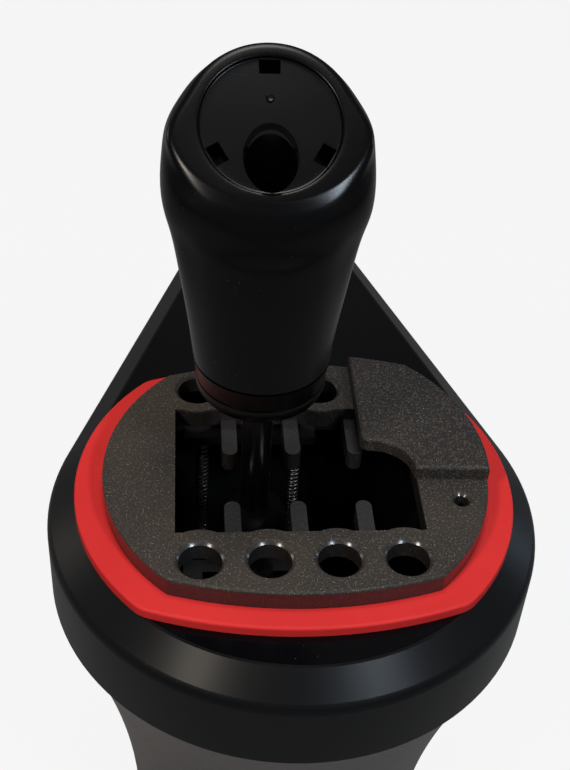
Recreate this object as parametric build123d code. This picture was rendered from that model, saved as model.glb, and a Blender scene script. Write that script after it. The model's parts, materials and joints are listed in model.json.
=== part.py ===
"""Sim racing gear shifter with an H-gate, a leaning knob, a round housing and a table clamp.

Lengths are in millimetres and angles in degrees. X runs to the driver's right, Y away from the
driver and Z up. The origin is the centre of the four mounting threads, on the underside of the
base plate. Each function builds one piece, or one group of like pieces, in its place.
"""

import math
import os

from build123d import *

# Heights of the stack under the gate
PLATE_THICKNESS = 6.0
RING_THICKNESS = 3.0
PANEL_THICKNESS = 2.5
DECK_THICKNESS = 3.0
CARRIER_THICKNESS = 3.0

# Clearances and the overrun of every cut
SEAT_GAP = 0.3
PANEL_GAP = 0.1
FIT = 0.05
OVERRUN = 5.0
REACH = 400.0

# Gate plate
PLATE_RIM = 19.9
PLATE_CROWN_RIM = 11.8
PLATE_ARC_RADIUS = 119.0
PLATE_EDGE_ROUND = 0.8
COLUMN_PITCH = 18.0
LEFT_SLOT_MARGIN = 6.5
RIGHT_SLOT_MARGIN = 6.2
OPENING_DEPTH = 24.2
MARKER_SETBACK = 9.3
MARKER_RADIUS = 5.7
MARKER_RIM_RADIUS = 6.75
BOSS_RADIUS = 10.3
TOOTH_WIDTH = 4.4
TOOTH_TIP = 9.2
TOOTH_DROP = 4.0
TOOTH_HEIGHT = 6.0
TOOTH_ROOT = 3.0
SPARE_HOLE_INSET = 8.9
SPARE_HOLE_Y = -12.9
SPARE_HOLE_RADIUS = 2.0
SPARE_SINK_RADIUS = 3.0

# Raised block over the closed slot
BLOCK_HEIGHT = 4.2
BLOCK_OVERLAP = 0.8
BLOCK_NOSE = 6.3
BLOCK_CUT_RADIUS = 11.0
BLOCK_NOSE_ROUND = 2.7
BLOCK_STEP_FALL = 1.0
BLOCK_ROUND = 1.0

# Trim ring and gloss panel
RING_MARGIN = 7.9
RING_CROWN_MARGIN = 6.4
RING_CORNER_ROUND = 9.0
RING_LIP = 1.0
SUPPORT_LIP = 2.5

# Top shell
NECK_RADIUS = 24.0
NECK_REACH = 139.0
SHELL_WALL = 3.0
SHELL_BEVEL_WIDTH = 8.0
SHELL_BEVEL_HEIGHT = 7.0
SHELL_SHOULDER_ROUND = 4.0
SHELL_HEIGHT = 29.0
RIM_WIDTH = 1.0
INNER_BEVEL_HEIGHT = 5.5
SHELL_BOSS_RADIUS = 4.0
SHELL_BOSS_INSET = 11.0
SHELL_BOSS_ANGLE = 30.0
NECK_BOSS_BACK = 35.0
NECK_BOSS_PAST = 5.0
NECK_BOSS_SPREAD = 11.0

# Lower body
BODY_TOP_STEP = 1.3
BODY_MIDDLE_STEP = 12.4
BODY_MIDDLE_HEIGHT = 70.0
BODY_WALL = 3.0
BODY_BACK = 40.0
SHELF_THICKNESS = 3.0
COLLAR_HEIGHT = 10.0
FLANGE_WIDTH = 14.7
FOOT_BOSS_RADIUS = 4.0
FOOT_BOSS_HEIGHT = 10.0
FOOT_BOSS_CIRCLE = 40.5
FOOT_BOSS_INSET = 6.5

# Base plate and its mounting threads
BASE_THICKNESS = 4.0
BOLT_PITCH = 50.0
BOLT_RADIUS = 2.5

# Plate carrier
CARRIER_SIDE_MARGIN = 3.5
CARRIER_DEPTH_MARGIN = 6.8
CARRIER_POST_INSET = 12.0
CARRIER_POST_Y = 21.0
CARRIER_POST_RADIUS = 4.0
CARRIER_SCREW_RADIUS = 1.9
CARRIER_THREAD_DEPTH = 4.0
CORNER_ROUND = 6.0

# Lever and its two axles
LEVER_OFFSET = 2.3
LEVER_RADIUS = 4.0
PIVOT_RISE = 48.0
PIVOT_DROP = 62.0
LEVER_FOOT = 5.0
LEVER_TOP = 76.0
SHIFT_AXLE_RADIUS = 3.0
SELECT_PIN_RADIUS = 4.0
HUB_BARREL_RADIUS = 8.0
HUB_HALF_WIDTH = 12.0
HUB_SOCKET_RADIUS = 7.0
HUB_SOCKET_HEIGHT = 22.0
HUB_STEM_RADIUS = 5.5
HUB_STEM_DROP = 17.0
HUB_SCREW_RADIUS = 2.0
HUB_SCREW_HEIGHT = 14.0
DOME_RADIUS = 9.5
DOME_HEIGHT = 6.0
DOME_DROP = 14.0
DOME_SHOULDER = 2.0

# Detent under the hub
PLUNGER_RADIUS = 3.0
PLUNGER_LENGTH = 9.0
PLUNGER_TIP = 20.0
PLUNGER_LIFT = 1.0
PLUNGER_CEILING = 4.0
DETENT_DEPTH = 1.0
DETENT_ANGLE = 15.5
BED_HALF_WIDTH = 5.0
BED_FLOOR = 26.0
BED_STRAP = 4.0
DETENT_WIRE = 0.7
DETENT_TURNS = 4

# Cradle
WINDOW_X = 14.0
WINDOW_Y = 11.0
CRADLE_WALL_X = 6.0
CRADLE_WALL_Y = 5.0
CRADLE_HALF_HEIGHT = 6.0
CHEEK_GAP = 2.0
BUSH_WALL = 1.5
BUSH_FLANGE = 1.0
BUSH_FLANGE_MARGIN = 3.0

# Mechanism frame
FRAME_HEIGHT = 40.0
FRAME_HALF = 29.0
FRAME_THICKNESS = 3.0
CHEEK_THICKNESS = 4.0
CHEEK_HALF_WIDTH = 9.0
POST_RADIUS = 4.0
FRAME_SCREW_HEAD = 4.0
FRAME_SCREW_HEAD_HEIGHT = 3.0
FRAME_SCREW_LENGTH = 12.0

# Centring rocker, anchor and springs
ROCKER_ARM = 14.0
ROCKER_THICKNESS = 6.0
ROCKER_HALF_HEIGHT = 3.0
ROCKER_HUB_RADIUS = 7.0
ROCKER_END_RADIUS = 3.0
ROCKER_OFFSET = 1.5
ANCHOR_THICKNESS = 3.0
ANCHOR_MARGIN = 5.5
ANCHOR_DEPTH = 10.0
SPRING_RADIUS = 2.0
SPRING_WIRE = 0.6
SPRING_TURNS = 28
PEG_LENGTH = 5.0

# Sensors
MAGNET_RADIUS = 2.5
MAGNET_THICKNESS = 2.5
SENSOR_GAP = 1.0
BOARD_THICKNESS = 1.6
SENSOR_BOARD_HALF_WIDTH = 11.0
SENSOR_BOARD_HALF_HEIGHT = 10.0
STANDOFF_RADIUS = 2.0
CHIP_SIZE = 5.0
CHIP_THICKNESS = 1.2

# Main board
MAIN_BOARD_HALF_WIDTH = 20.0
MAIN_BOARD_NEAR = 28.0
MAIN_BOARD_FAR = 22.0
MAIN_BOARD_LIFT = 6.0
MAIN_SPACER_RADIUS = 2.5
MAIN_SPACER_INSET = 4.0
CONTROLLER_SIZE = 10.0
CONNECTOR_LENGTH = 12.0
CONNECTOR_WIDTH = 5.0
CONNECTOR_HEIGHT = 5.0

# Sockets in the back wall
SOCKET_HEIGHT = 22.0
ROUND_SOCKET_X = -13.0
ROUND_SOCKET_RADIUS = 7.0
ROUND_SOCKET_MOUTH = 5.8
ROUND_SOCKET_DEPTH = 12.0
SOCKET_FLANGE = 1.5
SOCKET_FLANGE_MARGIN = 2.0
SOCKET_POCKET = 8.0
SOCKET_PIN_RADIUS = 0.5
SOCKET_PIN_CIRCLE = 4.4
USB_SOCKET_X = 13.0
USB_HALF_WIDTH = 6.0
USB_HALF_HEIGHT = 5.5
USB_MOUTH_HALF_WIDTH = 4.3
USB_MOUTH_HALF_HEIGHT = 4.0
USB_TONGUE_HALF_WIDTH = 2.8
USB_TONGUE_HALF_HEIGHT = 1.2
USB_TONGUE_LENGTH = 7.5
USB_POCKET = 12.0
USB_DEPTH = 16.0

# Knob
KNOB_FLOOR = 29.5
COLLAR_FOOT_RADIUS = 13.6
COLLAR_SEAM_RADIUS = 16.8
COLLAR_TOP_RADIUS = 17.5
COLLAR_SEAM_HEIGHT = 5.6
KNOB_COLLAR_HEIGHT = 11.5
COLLAR_SEAM_DEPTH = 0.4
COLLAR_SEAM_WIDTH = 0.5
KNOB_RADIUS = 25.6
KNOB_BODY_HEIGHT = 62.3
KNOB_LEAN = 6.0
KNOB_TILT = 39.0
# Height, radius, lean and tilt of each ring of the knob
KNOB_RING_SHARES = (
    (0.0, 0.684, 0.0, 0.0),
    (0.18, 0.737, 0.1, 0.0),
    (0.38, 0.815, 0.3, 0.0),
    (0.56, 0.893, 0.6, 0.12),
    (0.73, 0.985, 0.92, 0.5),
    (0.876, 0.977, 0.97, 0.77),
    (0.964, 0.87, 0.96, 0.92),
    (1.0, 0.736, 1.0, 1.0),
)
CUP_RADIUS = 16.5
CUP_DEPTH = 1.0
CLIP_WIDTH = 5.0
CLIP_DEPTH = 3.4
CLIP_CIRCLE = 14.2
CLIP_TURN = 120.0
CLIP_DROP = 6.0
NUB_RADIUS = 1.0
NUB_HEIGHT = 0.6
NUB_DISTANCE = 6.5
BOLT_HOLE_RADIUS = 6.0
WASHER_RADIUS = 5.6
WASHER_THICKNESS = 1.2
KNOB_BOLT_RADIUS = 2.5
KNOB_BOLT_HEAD_RADIUS = 4.25
KNOB_BOLT_HEAD_HEIGHT = 5.0
KNOB_BOLT_LENGTH = 16.0
KNOB_BOLT_HEX = 4.0
KNOB_BOLT_HEX_DEPTH = 2.5

# Table clamp
JAW_PLATE_THICKNESS = 3.0
JAW_PAD_THICKNESS = 2.0
JAW_PAD_INSET = 9.0
JAW_PAD_START = 78.0
ARM_HEIGHT = 40.0
ARM_THICKNESS = 8.0
ARM_FOOT_HALF_WIDTH = 22.0
ARM_FLANGE_THICKNESS = 6.0
ARM_FLANGE_LOW = 34.0
ARM_FLANGE_HIGH = 62.0
ARM_END_RADIUS = 15.0
ARM_BOLT_SPREAD = 16.0
ARM_BOLT_LOW = 39.0
ARM_BOLT_HIGH = 56.0
ARM_BOLT_RADIUS = 2.5
ARM_BOLT_HEAD_RADIUS = 4.2
ARM_BOLT_HEAD_HEIGHT = 3.5
ARM_NUT_HEIGHT = 3.5
ARM_BOLT_END = 1.0
ARM_RIB_HALF_WIDTH = 3.0
ARM_RIB_LENGTH = 26.0
SPINDLE_Y = 95.0
SPINDLE_RADIUS = 5.0
SPINDLE_LOW = 20.0
CLAMP_OPENING = 31.0
SPINDLE_TIP_RADIUS = 3.5
SPINDLE_TIP_HEIGHT = 3.0
NUT_RADIUS = 8.0
NUT_FLANGE_RADIUS = 11.0
NUT_FLANGE_THICKNESS = 2.5
WHEEL_RADIUS = 21.0
WHEEL_LOW = 18.0
WHEEL_THICKNESS = 9.0
WHEEL_LOBES = 8
WHEEL_LOBE_RADIUS = 4.0
WHEEL_ROUND = 1.5
PRESS_RADIUS = 16.0
PRESS_THICKNESS = 5.0
PRESS_PAD_THICKNESS = 2.0
PRESS_PAD_INSET = 1.0

# Small screws
SMALL_SCREW_RADIUS = 1.5
SMALL_HEAD_RADIUS = 3.0
SMALL_HEAD_HEIGHT = 2.0
SMALL_THREAD_DEPTH = 9.0

# Places worked out from the sizes above
PIVOT = FRAME_HEIGHT + PIVOT_RISE
GATE_HEIGHT = PIVOT + PIVOT_DROP
PLATE_BOTTOM = GATE_HEIGHT - PLATE_THICKNESS
RING_BOTTOM = PLATE_BOTTOM - RING_THICKNESS
PANEL_BOTTOM = RING_BOTTOM - PANEL_THICKNESS
DECK_BOTTOM = PANEL_BOTTOM - DECK_THICKNESS
CARRIER_BOTTOM = DECK_BOTTOM - CARRIER_THICKNESS
SHELL_TOP = RING_BOTTOM
SHELL_BOTTOM = SHELL_TOP - SHELL_HEIGHT
SHELF_BOTTOM = SHELL_BOTTOM - SHELF_THICKNESS
FRAME_TOP = FRAME_HEIGHT + FRAME_THICKNESS
CRADLE_X = WINDOW_X + CRADLE_WALL_X
CRADLE_Y = WINDOW_Y + CRADLE_WALL_Y
CHEEK_INNER = CRADLE_Y + CHEEK_GAP
CHEEK_OUTER = CHEEK_INNER + CHEEK_THICKNESS
ROCKER_NEAR = CHEEK_OUTER + ROCKER_OFFSET
ROCKER_FAR = ROCKER_NEAR + ROCKER_THICKNESS
SPRING_Y = (ROCKER_NEAR + ROCKER_FAR) / 2
SPRING_LOW = PIVOT + ROCKER_HALF_HEIGHT + SEAT_GAP
SPRING_HIGH = DECK_BOTTOM - SEAT_GAP
KNOB_BOTTOM = GATE_HEIGHT + KNOB_FLOOR
COLLAR_TOP = KNOB_BOTTOM + KNOB_COLLAR_HEIGHT
ROD_TOP = GATE_HEIGHT + LEVER_TOP
JAW_PLATE_BOTTOM = SHELL_BOTTOM - JAW_PLATE_THICKNESS
ARM_TOP = ARM_HEIGHT + ARM_THICKNESS
SPINDLE_HIGH = JAW_PLATE_BOTTOM - CLAMP_OPENING
MAIN_BOARD_LOW = BASE_THICKNESS + MAIN_BOARD_LIFT
MAIN_BOARD_HIGH = MAIN_BOARD_LOW + BOARD_THICKNESS
OPENING_LEFT = 1.5 * COLUMN_PITCH + LEFT_SLOT_MARGIN
OPENING_RIGHT = 1.5 * COLUMN_PITCH + RIGHT_SLOT_MARGIN
MARKER_ROW = OPENING_DEPTH + MARKER_SETBACK
PLATE_RADIUS = OPENING_LEFT + PLATE_RIM
PLATE_CROWN = MARKER_ROW + PLATE_CROWN_RIM
SPARE_HOLE_X = PLATE_RADIUS - SPARE_HOLE_INSET
BLOCK_LEFT = COLUMN_PITCH + BLOCK_OVERLAP
BLOCK_CUT_X = BLOCK_LEFT + BLOCK_NOSE_ROUND
CARRIER_OPENING_SIDE = OPENING_LEFT + CARRIER_SIDE_MARGIN
CARRIER_OPENING_DEPTH = OPENING_DEPTH + CARRIER_DEPTH_MARGIN
CARRIER_POST_X = PLATE_RADIUS - CARRIER_POST_INSET
SHELL_RADIUS = PLATE_RADIUS + RING_MARGIN + SHELL_BEVEL_WIDTH
SHELL_BOSS_CIRCLE = SHELL_RADIUS - SHELL_BOSS_INSET
NECK_BOSS_NEAR = NECK_REACH - NECK_BOSS_BACK
NECK_BOSS_FAR = NECK_REACH + NECK_BOSS_PAST
BODY_TOP_RADIUS = SHELL_RADIUS - BODY_TOP_STEP
BODY_MIDDLE_RADIUS = BODY_TOP_RADIUS - BODY_MIDDLE_STEP
BODY_FOOT_RADIUS = FOOT_BOSS_CIRCLE + FOOT_BOSS_INSET
FLANGE_OPENING = BODY_TOP_RADIUS - FLANGE_WIDTH
FOOT_BOSS_REAR = BODY_BACK - FOOT_BOSS_INSET
LEVER_X = -COLUMN_PITCH / 2 - LEVER_OFFSET
COLUMNS = tuple(COLUMN_PITCH * (i - 1.5) for i in range(4))
TEETH = tuple(COLUMN_PITCH * (i - 1) for i in range(3))
CORNERS = ((1, 1), (-1, 1), (-1, -1), (1, -1))


def prism(face, low, high):
    """Raise a flat outline from one height to another."""
    return extrude(Pos(0, 0, low) * face, amount=high - low)


def block(x, y, z):
    """Make a box from its lowest and highest X, Y and Z."""
    centre = Pos((x[0] + x[1]) / 2, (y[0] + y[1]) / 2, (z[0] + z[1]) / 2)
    return centre * Box(x[1] - x[0], y[1] - y[0], z[1] - z[0])


def upright(radius, low, high, x=0, y=0):
    """Make a round bar along Z between two heights."""
    return Pos(x, y, (low + high) / 2) * Cylinder(radius, high - low)


def across(radius, low, high, y, z):
    """Make a round bar along X between two places."""
    return Pos((low + high) / 2, y, z) * Rot(0, 90, 0) * Cylinder(radius, high - low)


def lengthwise(radius, low, high, x, z):
    """Make a round bar along Y between two places."""
    return Pos(x, (low + high) / 2, z) * Rot(90, 0, 0) * Cylinder(radius, high - low)


def turned(points):
    """Turn a closed outline of radius and height points about the Z axis."""
    outline = Plane.XZ * Polygon(*points, align=None)
    return revolve(outline, Axis.Z)


def teardrop(offset):
    """Draw the round head joined to the neck by its two tangents."""
    head = SHELL_RADIUS + offset
    neck = NECK_RADIUS + offset
    lean = math.asin((head - neck) / NECK_REACH)
    head_x = head * math.cos(lean)
    head_y = head * math.sin(lean)
    neck_x = neck * math.cos(lean)
    neck_y = NECK_REACH + neck * math.sin(lean)
    edges = [
        ThreePointArc((-head_x, head_y), (0, -head), (head_x, head_y)),
        Line((head_x, head_y), (neck_x, neck_y)),
        ThreePointArc((neck_x, neck_y), (0, NECK_REACH + neck), (-neck_x, neck_y)),
        Line((-neck_x, neck_y), (-head_x, head_y)),
    ]
    return make_face(Curve() + edges)


def lens(offset):
    """Draw the gate's outline: a circle clipped by two shallow arcs."""
    clip = Circle(PLATE_ARC_RADIUS + offset)
    shift = PLATE_ARC_RADIUS - PLATE_CROWN
    return Circle(PLATE_RADIUS + offset) & Pos(0, shift) * clip & Pos(0, -shift) * clip


def gate_opening():
    """Draw the slot field, drawn in by the wall round each marker hole."""
    width = OPENING_LEFT + OPENING_RIGHT
    middle = (OPENING_RIGHT - OPENING_LEFT) / 2
    field = Pos(middle, 0) * Rectangle(width, 2 * OPENING_DEPTH)
    for x in COLUMNS:
        for side in (-1, 1):
            field -= Pos(x, side * MARKER_ROW) * Circle(BOSS_RADIUS)
    return field


def gate_tooth(x, side):
    """Make one tooth between two slots, with a round tip and a root under the plate."""
    half = TOOTH_WIDTH / 2
    top = GATE_HEIGHT - TOOTH_DROP
    near = TOOTH_TIP + half
    bar = Pos(x, side * (near + OPENING_DEPTH) / 2) * Rectangle(TOOTH_WIDTH, OPENING_DEPTH - near)
    tip = Pos(x, side * near) * Circle(half)
    tooth = prism(bar + tip, top - TOOTH_HEIGHT, top)
    root = Pos(x, side * (OPENING_DEPTH + TOOTH_ROOT / 2)) * Rectangle(TOOTH_WIDTH, TOOTH_ROOT)
    return tooth + prism(root, top - TOOTH_HEIGHT, PLATE_BOTTOM)


def raised_block():
    """Make the block that closes the seventh slot, with its hollow corner toward the lever."""
    right = PLATE_RADIUS + OVERRUN
    far = PLATE_CROWN + OVERRUN
    centre_y = BLOCK_NOSE - BLOCK_CUT_RADIUS
    step_x = BLOCK_CUT_X + BLOCK_CUT_RADIUS
    middle = BLOCK_CUT_RADIUS * math.sin(math.radians(45))
    nose = BLOCK_CUT_X - BLOCK_LEFT
    edges = [
        Line((BLOCK_LEFT, far), (BLOCK_LEFT, BLOCK_NOSE + nose)),
        RadiusArc((BLOCK_LEFT, BLOCK_NOSE + nose), (BLOCK_CUT_X, BLOCK_NOSE), -nose),
        ThreePointArc(
            (BLOCK_CUT_X, BLOCK_NOSE),
            (BLOCK_CUT_X + middle, centre_y + middle),
            (step_x, centre_y),
        ),
        Line((step_x, centre_y), (right, centre_y - BLOCK_STEP_FALL)),
        Line((right, centre_y - BLOCK_STEP_FALL), (right, far)),
        Line((right, far), (BLOCK_LEFT, far)),
    ]
    outline = make_face(Curve() + edges) & lens(0)
    top = GATE_HEIGHT + BLOCK_HEIGHT
    solid = prism(outline, GATE_HEIGHT, top)
    return fillet(solid.faces().sort_by(Axis.Z)[-1].edges(), BLOCK_ROUND)


def marker_hole(x, y):
    """Make the cutter of one marker hole with its chamfered rim."""
    rim = MARKER_RIM_RADIUS - MARKER_RADIUS
    low = PLATE_BOTTOM - OVERRUN
    high = GATE_HEIGHT + OVERRUN
    cutter = turned(
        (
            (0, low),
            (MARKER_RADIUS, low),
            (MARKER_RADIUS, GATE_HEIGHT - rim),
            (MARKER_RIM_RADIUS, GATE_HEIGHT),
            (MARKER_RIM_RADIUS, high),
            (0, high),
        )
    )
    return Pos(x, y, 0) * cutter


def gate_plate():
    """Make the cast gate plate with its slots, teeth, marker holes and raised block."""
    plate = prism(lens(0), PLATE_BOTTOM, GATE_HEIGHT)
    plate = fillet(plate.faces().sort_by(Axis.Z)[-1].edges(), PLATE_EDGE_ROUND)
    plate -= prism(gate_opening(), PLATE_BOTTOM - OVERRUN, GATE_HEIGHT + OVERRUN)
    for x in COLUMNS:
        plate -= marker_hole(x, -MARKER_ROW)
    for x in COLUMNS[:-1]:
        plate -= marker_hole(x, MARKER_ROW)
    for x in TEETH:
        for side in (-1, 1):
            plate += gate_tooth(x, side)
    plate += raised_block()
    sink = SPARE_SINK_RADIUS - SPARE_HOLE_RADIUS
    spare = turned(
        (
            (0, PLATE_BOTTOM - OVERRUN),
            (SPARE_HOLE_RADIUS, PLATE_BOTTOM - OVERRUN),
            (SPARE_HOLE_RADIUS, GATE_HEIGHT - sink),
            (SPARE_SINK_RADIUS, GATE_HEIGHT),
            (0, GATE_HEIGHT),
        )
    )
    plate -= Pos(SPARE_HOLE_X, SPARE_HOLE_Y, 0) * spare
    for x, y in CORNERS:
        plate -= upright(
            CARRIER_SCREW_RADIUS + FIT,
            PLATE_BOTTOM - OVERRUN,
            PLATE_BOTTOM + CARRIER_THREAD_DEPTH + SEAT_GAP,
            x * CARRIER_POST_X,
            y * CARRIER_POST_Y,
        )
    return plate


def ring_outline():
    """Draw the ring's outer edge, slimmer before and behind the plate and round at its corners."""
    clip = Circle(PLATE_ARC_RADIUS + RING_CROWN_MARGIN)
    shift = PLATE_ARC_RADIUS - PLATE_CROWN
    outline = Circle(PLATE_RADIUS + RING_MARGIN) & Pos(0, shift) * clip & Pos(0, -shift) * clip
    return fillet(outline.vertices(), RING_CORNER_ROUND)


def trim_ring():
    """Make the flat ring that frames the gate plate."""
    ring = prism(ring_outline() - lens(-RING_LIP), RING_BOTTOM, PLATE_BOTTOM)
    top = ring.faces().sort_by(Axis.Z)[-1]
    return fillet(top.outer_wire().edges(), PLATE_EDGE_ROUND)


def gloss_panel():
    """Make the panel let into the top of the shell, with the rib that centres ring and plate."""
    outline = teardrop(-SHELL_BEVEL_WIDTH - RIM_WIDTH) - lens(-SUPPORT_LIP)
    rib = lens(-RING_LIP - PANEL_GAP) - lens(-SUPPORT_LIP)
    return prism(outline, PANEL_BOTTOM, RING_BOTTOM) + prism(rib, PANEL_BOTTOM, PLATE_BOTTOM)


def neck_boss_places():
    """List the four screw places inside the neck."""
    return [(side * NECK_BOSS_SPREAD, y) for y in (NECK_BOSS_NEAR, NECK_BOSS_FAR) for side in (-1, 1)]


def shell_boss_places():
    """List the four screw places inside the round head."""
    wide = SHELL_BOSS_CIRCLE * math.cos(math.radians(SHELL_BOSS_ANGLE))
    deep = SHELL_BOSS_CIRCLE * math.sin(math.radians(SHELL_BOSS_ANGLE))
    return [(x * wide, y * deep) for x, y in CORNERS]


def top_shell():
    """Make the bevelled housing with its neck, deck and screw bosses."""
    shoulder = SHELL_TOP - SHELL_BEVEL_HEIGHT
    shell = prism(teardrop(0), SHELL_BOTTOM, shoulder)
    shell += loft(
        [Pos(0, 0, shoulder) * teardrop(0), Pos(0, 0, SHELL_TOP) * teardrop(-SHELL_BEVEL_WIDTH)],
        ruled=True,
    )
    level = shell.edges().filter_by(lambda edge: edge.bounding_box().size.Z < FIT)
    shell = fillet(level.filter_by_position(Axis.Z, shoulder - FIT, shoulder + FIT), SHELL_SHOULDER_ROUND)
    inner_shoulder = DECK_BOTTOM - INNER_BEVEL_HEIGHT
    shell -= prism(teardrop(-SHELL_WALL), SHELL_BOTTOM - OVERRUN, inner_shoulder)
    shell -= loft(
        [
            Pos(0, 0, inner_shoulder) * teardrop(-SHELL_WALL),
            Pos(0, 0, DECK_BOTTOM) * teardrop(-SHELL_BEVEL_WIDTH - RIM_WIDTH),
        ],
        ruled=True,
    )
    recess = teardrop(PANEL_GAP - SHELL_BEVEL_WIDTH - RIM_WIDTH)
    shell -= prism(recess, PANEL_BOTTOM, SHELL_TOP + OVERRUN)
    shell -= prism(lens(-SUPPORT_LIP), DECK_BOTTOM - OVERRUN, SHELL_TOP)
    for x, y in neck_boss_places() + shell_boss_places():
        shell += upright(SHELL_BOSS_RADIUS, SHELL_BOTTOM, DECK_BOTTOM, x, y)
        shell -= upright(
            SMALL_SCREW_RADIUS + FIT,
            SHELL_BOTTOM - OVERRUN,
            SHELL_BOTTOM + SMALL_THREAD_DEPTH + SEAT_GAP,
            x,
            y,
        )
    return shell


def body_profile(inset, high):
    """Draw the half section of the bowl, drawn in by a wall, up to a height."""
    foot = BODY_FOOT_RADIUS - inset
    rise = ThreePointArc(
        (foot, BASE_THICKNESS),
        (BODY_MIDDLE_RADIUS - inset, BODY_MIDDLE_HEIGHT),
        (BODY_TOP_RADIUS - inset, SHELL_BOTTOM),
    )
    edges = [
        Line((0, BASE_THICKNESS), (foot, BASE_THICKNESS)),
        rise,
        Line((BODY_TOP_RADIUS - inset, SHELL_BOTTOM), (0, SHELL_BOTTOM)),
        Line((0, SHELL_BOTTOM), (0, BASE_THICKNESS)),
    ]
    bowl = revolve(Plane.XZ * make_face(Curve() + edges), Axis.Z)
    return bowl - upright(REACH, high, SHELL_BOTTOM + OVERRUN) if high < SHELL_BOTTOM else bowl


def foot_boss_places():
    """List the four screw places round the foot of the bowl."""
    reach = FOOT_BOSS_CIRCLE
    return [(reach, 0), (-reach, 0), (0, -reach), (0, FOOT_BOSS_REAR)]


def arm_bolt_places():
    """List the four bolts of the clamp arm as X and height."""
    return [(side * ARM_BOLT_SPREAD, z) for z in (ARM_BOLT_LOW, ARM_BOLT_HIGH) for side in (-1, 1)]


def lower_body():
    """Make the tapered metal bowl with its flat back, inner flange and collar."""
    inner_back = BODY_BACK - BODY_WALL
    collar_radius = SHELL_RADIUS - SHELL_WALL - SEAT_GAP
    collar_top = SHELL_BOTTOM + COLLAR_HEIGHT
    behind = block((-REACH, REACH), (BODY_BACK, REACH), (-REACH, SHELF_BOTTOM))
    body = body_profile(0, SHELL_BOTTOM) - behind
    front = block((-REACH, REACH), (-REACH, inner_back), (-REACH, REACH))
    body -= body_profile(BODY_WALL, SHELF_BOTTOM) & front
    body -= upright(FLANGE_OPENING, SHELF_BOTTOM - OVERRUN, collar_top) & front
    ring = Circle(collar_radius) - Circle(collar_radius - BODY_WALL)
    body += prism(ring, SHELL_BOTTOM, collar_top)
    foot = upright(BODY_FOOT_RADIUS, BASE_THICKNESS, BASE_THICKNESS + FOOT_BOSS_HEIGHT)
    for x, y in foot_boss_places():
        boss = upright(FOOT_BOSS_RADIUS, BASE_THICKNESS, BASE_THICKNESS + FOOT_BOSS_HEIGHT, x, y)
        body += boss & foot
        body -= upright(
            SMALL_SCREW_RADIUS + FIT,
            BASE_THICKNESS - OVERRUN,
            BASE_THICKNESS + SMALL_THREAD_DEPTH + SEAT_GAP,
            x,
            y,
        )
    for x, y in shell_boss_places():
        body -= upright(SMALL_SCREW_RADIUS + PANEL_GAP, SHELF_BOTTOM - OVERRUN, collar_top, x, y)
    for x, z in arm_bolt_places():
        body -= lengthwise(ARM_BOLT_RADIUS + PANEL_GAP, inner_back - OVERRUN, BODY_BACK + OVERRUN, x, z)
    body -= lengthwise(
        ROUND_SOCKET_RADIUS + PANEL_GAP,
        inner_back - OVERRUN,
        BODY_BACK + OVERRUN,
        ROUND_SOCKET_X,
        SOCKET_HEIGHT,
    )
    half_width = USB_HALF_WIDTH + PANEL_GAP
    half_height = USB_HALF_HEIGHT + PANEL_GAP
    body -= block(
        (USB_SOCKET_X - half_width, USB_SOCKET_X + half_width),
        (inner_back - OVERRUN, BODY_BACK + OVERRUN),
        (SOCKET_HEIGHT - half_height, SOCKET_HEIGHT + half_height),
    )
    return body


def base_plate():
    """Make the floor of the bowl with its four mounting threads and sunk screw holes."""
    disc = prism(Circle(BODY_FOOT_RADIUS - SEAT_GAP), 0, BASE_THICKNESS)
    disc -= block((-REACH, REACH), (BODY_BACK - SEAT_GAP, REACH), (-OVERRUN, BASE_THICKNESS + OVERRUN))
    for x, y in CORNERS:
        disc -= upright(
            BOLT_RADIUS, -OVERRUN, BASE_THICKNESS + OVERRUN, x * BOLT_PITCH / 2, y * BOLT_PITCH / 2
        )
    for x, y in foot_boss_places():
        disc -= upright(SMALL_SCREW_RADIUS + PANEL_GAP, -OVERRUN, BASE_THICKNESS + OVERRUN, x, y)
        disc -= upright(SMALL_HEAD_RADIUS + PANEL_GAP, -OVERRUN, SMALL_HEAD_HEIGHT, x, y)
    return disc


def small_screw(x, y, head_low):
    """Make one small screw that points up, with its head at the foot."""
    head_high = head_low + SMALL_HEAD_HEIGHT
    head = upright(SMALL_HEAD_RADIUS, head_low, head_high, x, y)
    return head + upright(SMALL_SCREW_RADIUS, head_low, head_high + SMALL_THREAD_DEPTH, x, y)


def base_screws():
    """Make the four screws that hold the base plate."""
    return Compound([small_screw(x, y, 0) for x, y in foot_boss_places()])


def shell_screws():
    """Make the four screws that tie the bowl to the shell."""
    return Compound([small_screw(x, y, SHELF_BOTTOM - SMALL_HEAD_HEIGHT) for x, y in shell_boss_places()])


def jaw_screws():
    """Make the four sunk screws of the jaw plate."""
    return Compound([small_screw(x, y, JAW_PLATE_BOTTOM) for x, y in neck_boss_places()])


def plate_carrier():
    """Make the ring under the deck whose posts pull the gate plate down."""
    window = Rectangle(2 * CARRIER_OPENING_SIDE, 2 * CARRIER_OPENING_DEPTH)
    window = fillet(window.vertices(), CORNER_ROUND)
    carrier = prism(Circle(PLATE_RADIUS) - window, CARRIER_BOTTOM, DECK_BOTTOM)
    for x, y in CORNERS:
        place = (x * CARRIER_POST_X, y * CARRIER_POST_Y)
        carrier += upright(CARRIER_POST_RADIUS, CARRIER_BOTTOM, PLATE_BOTTOM, *place)
        carrier -= upright(
            CARRIER_SCREW_RADIUS + PANEL_GAP, CARRIER_BOTTOM - OVERRUN, GATE_HEIGHT, *place
        )
    return carrier


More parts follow.
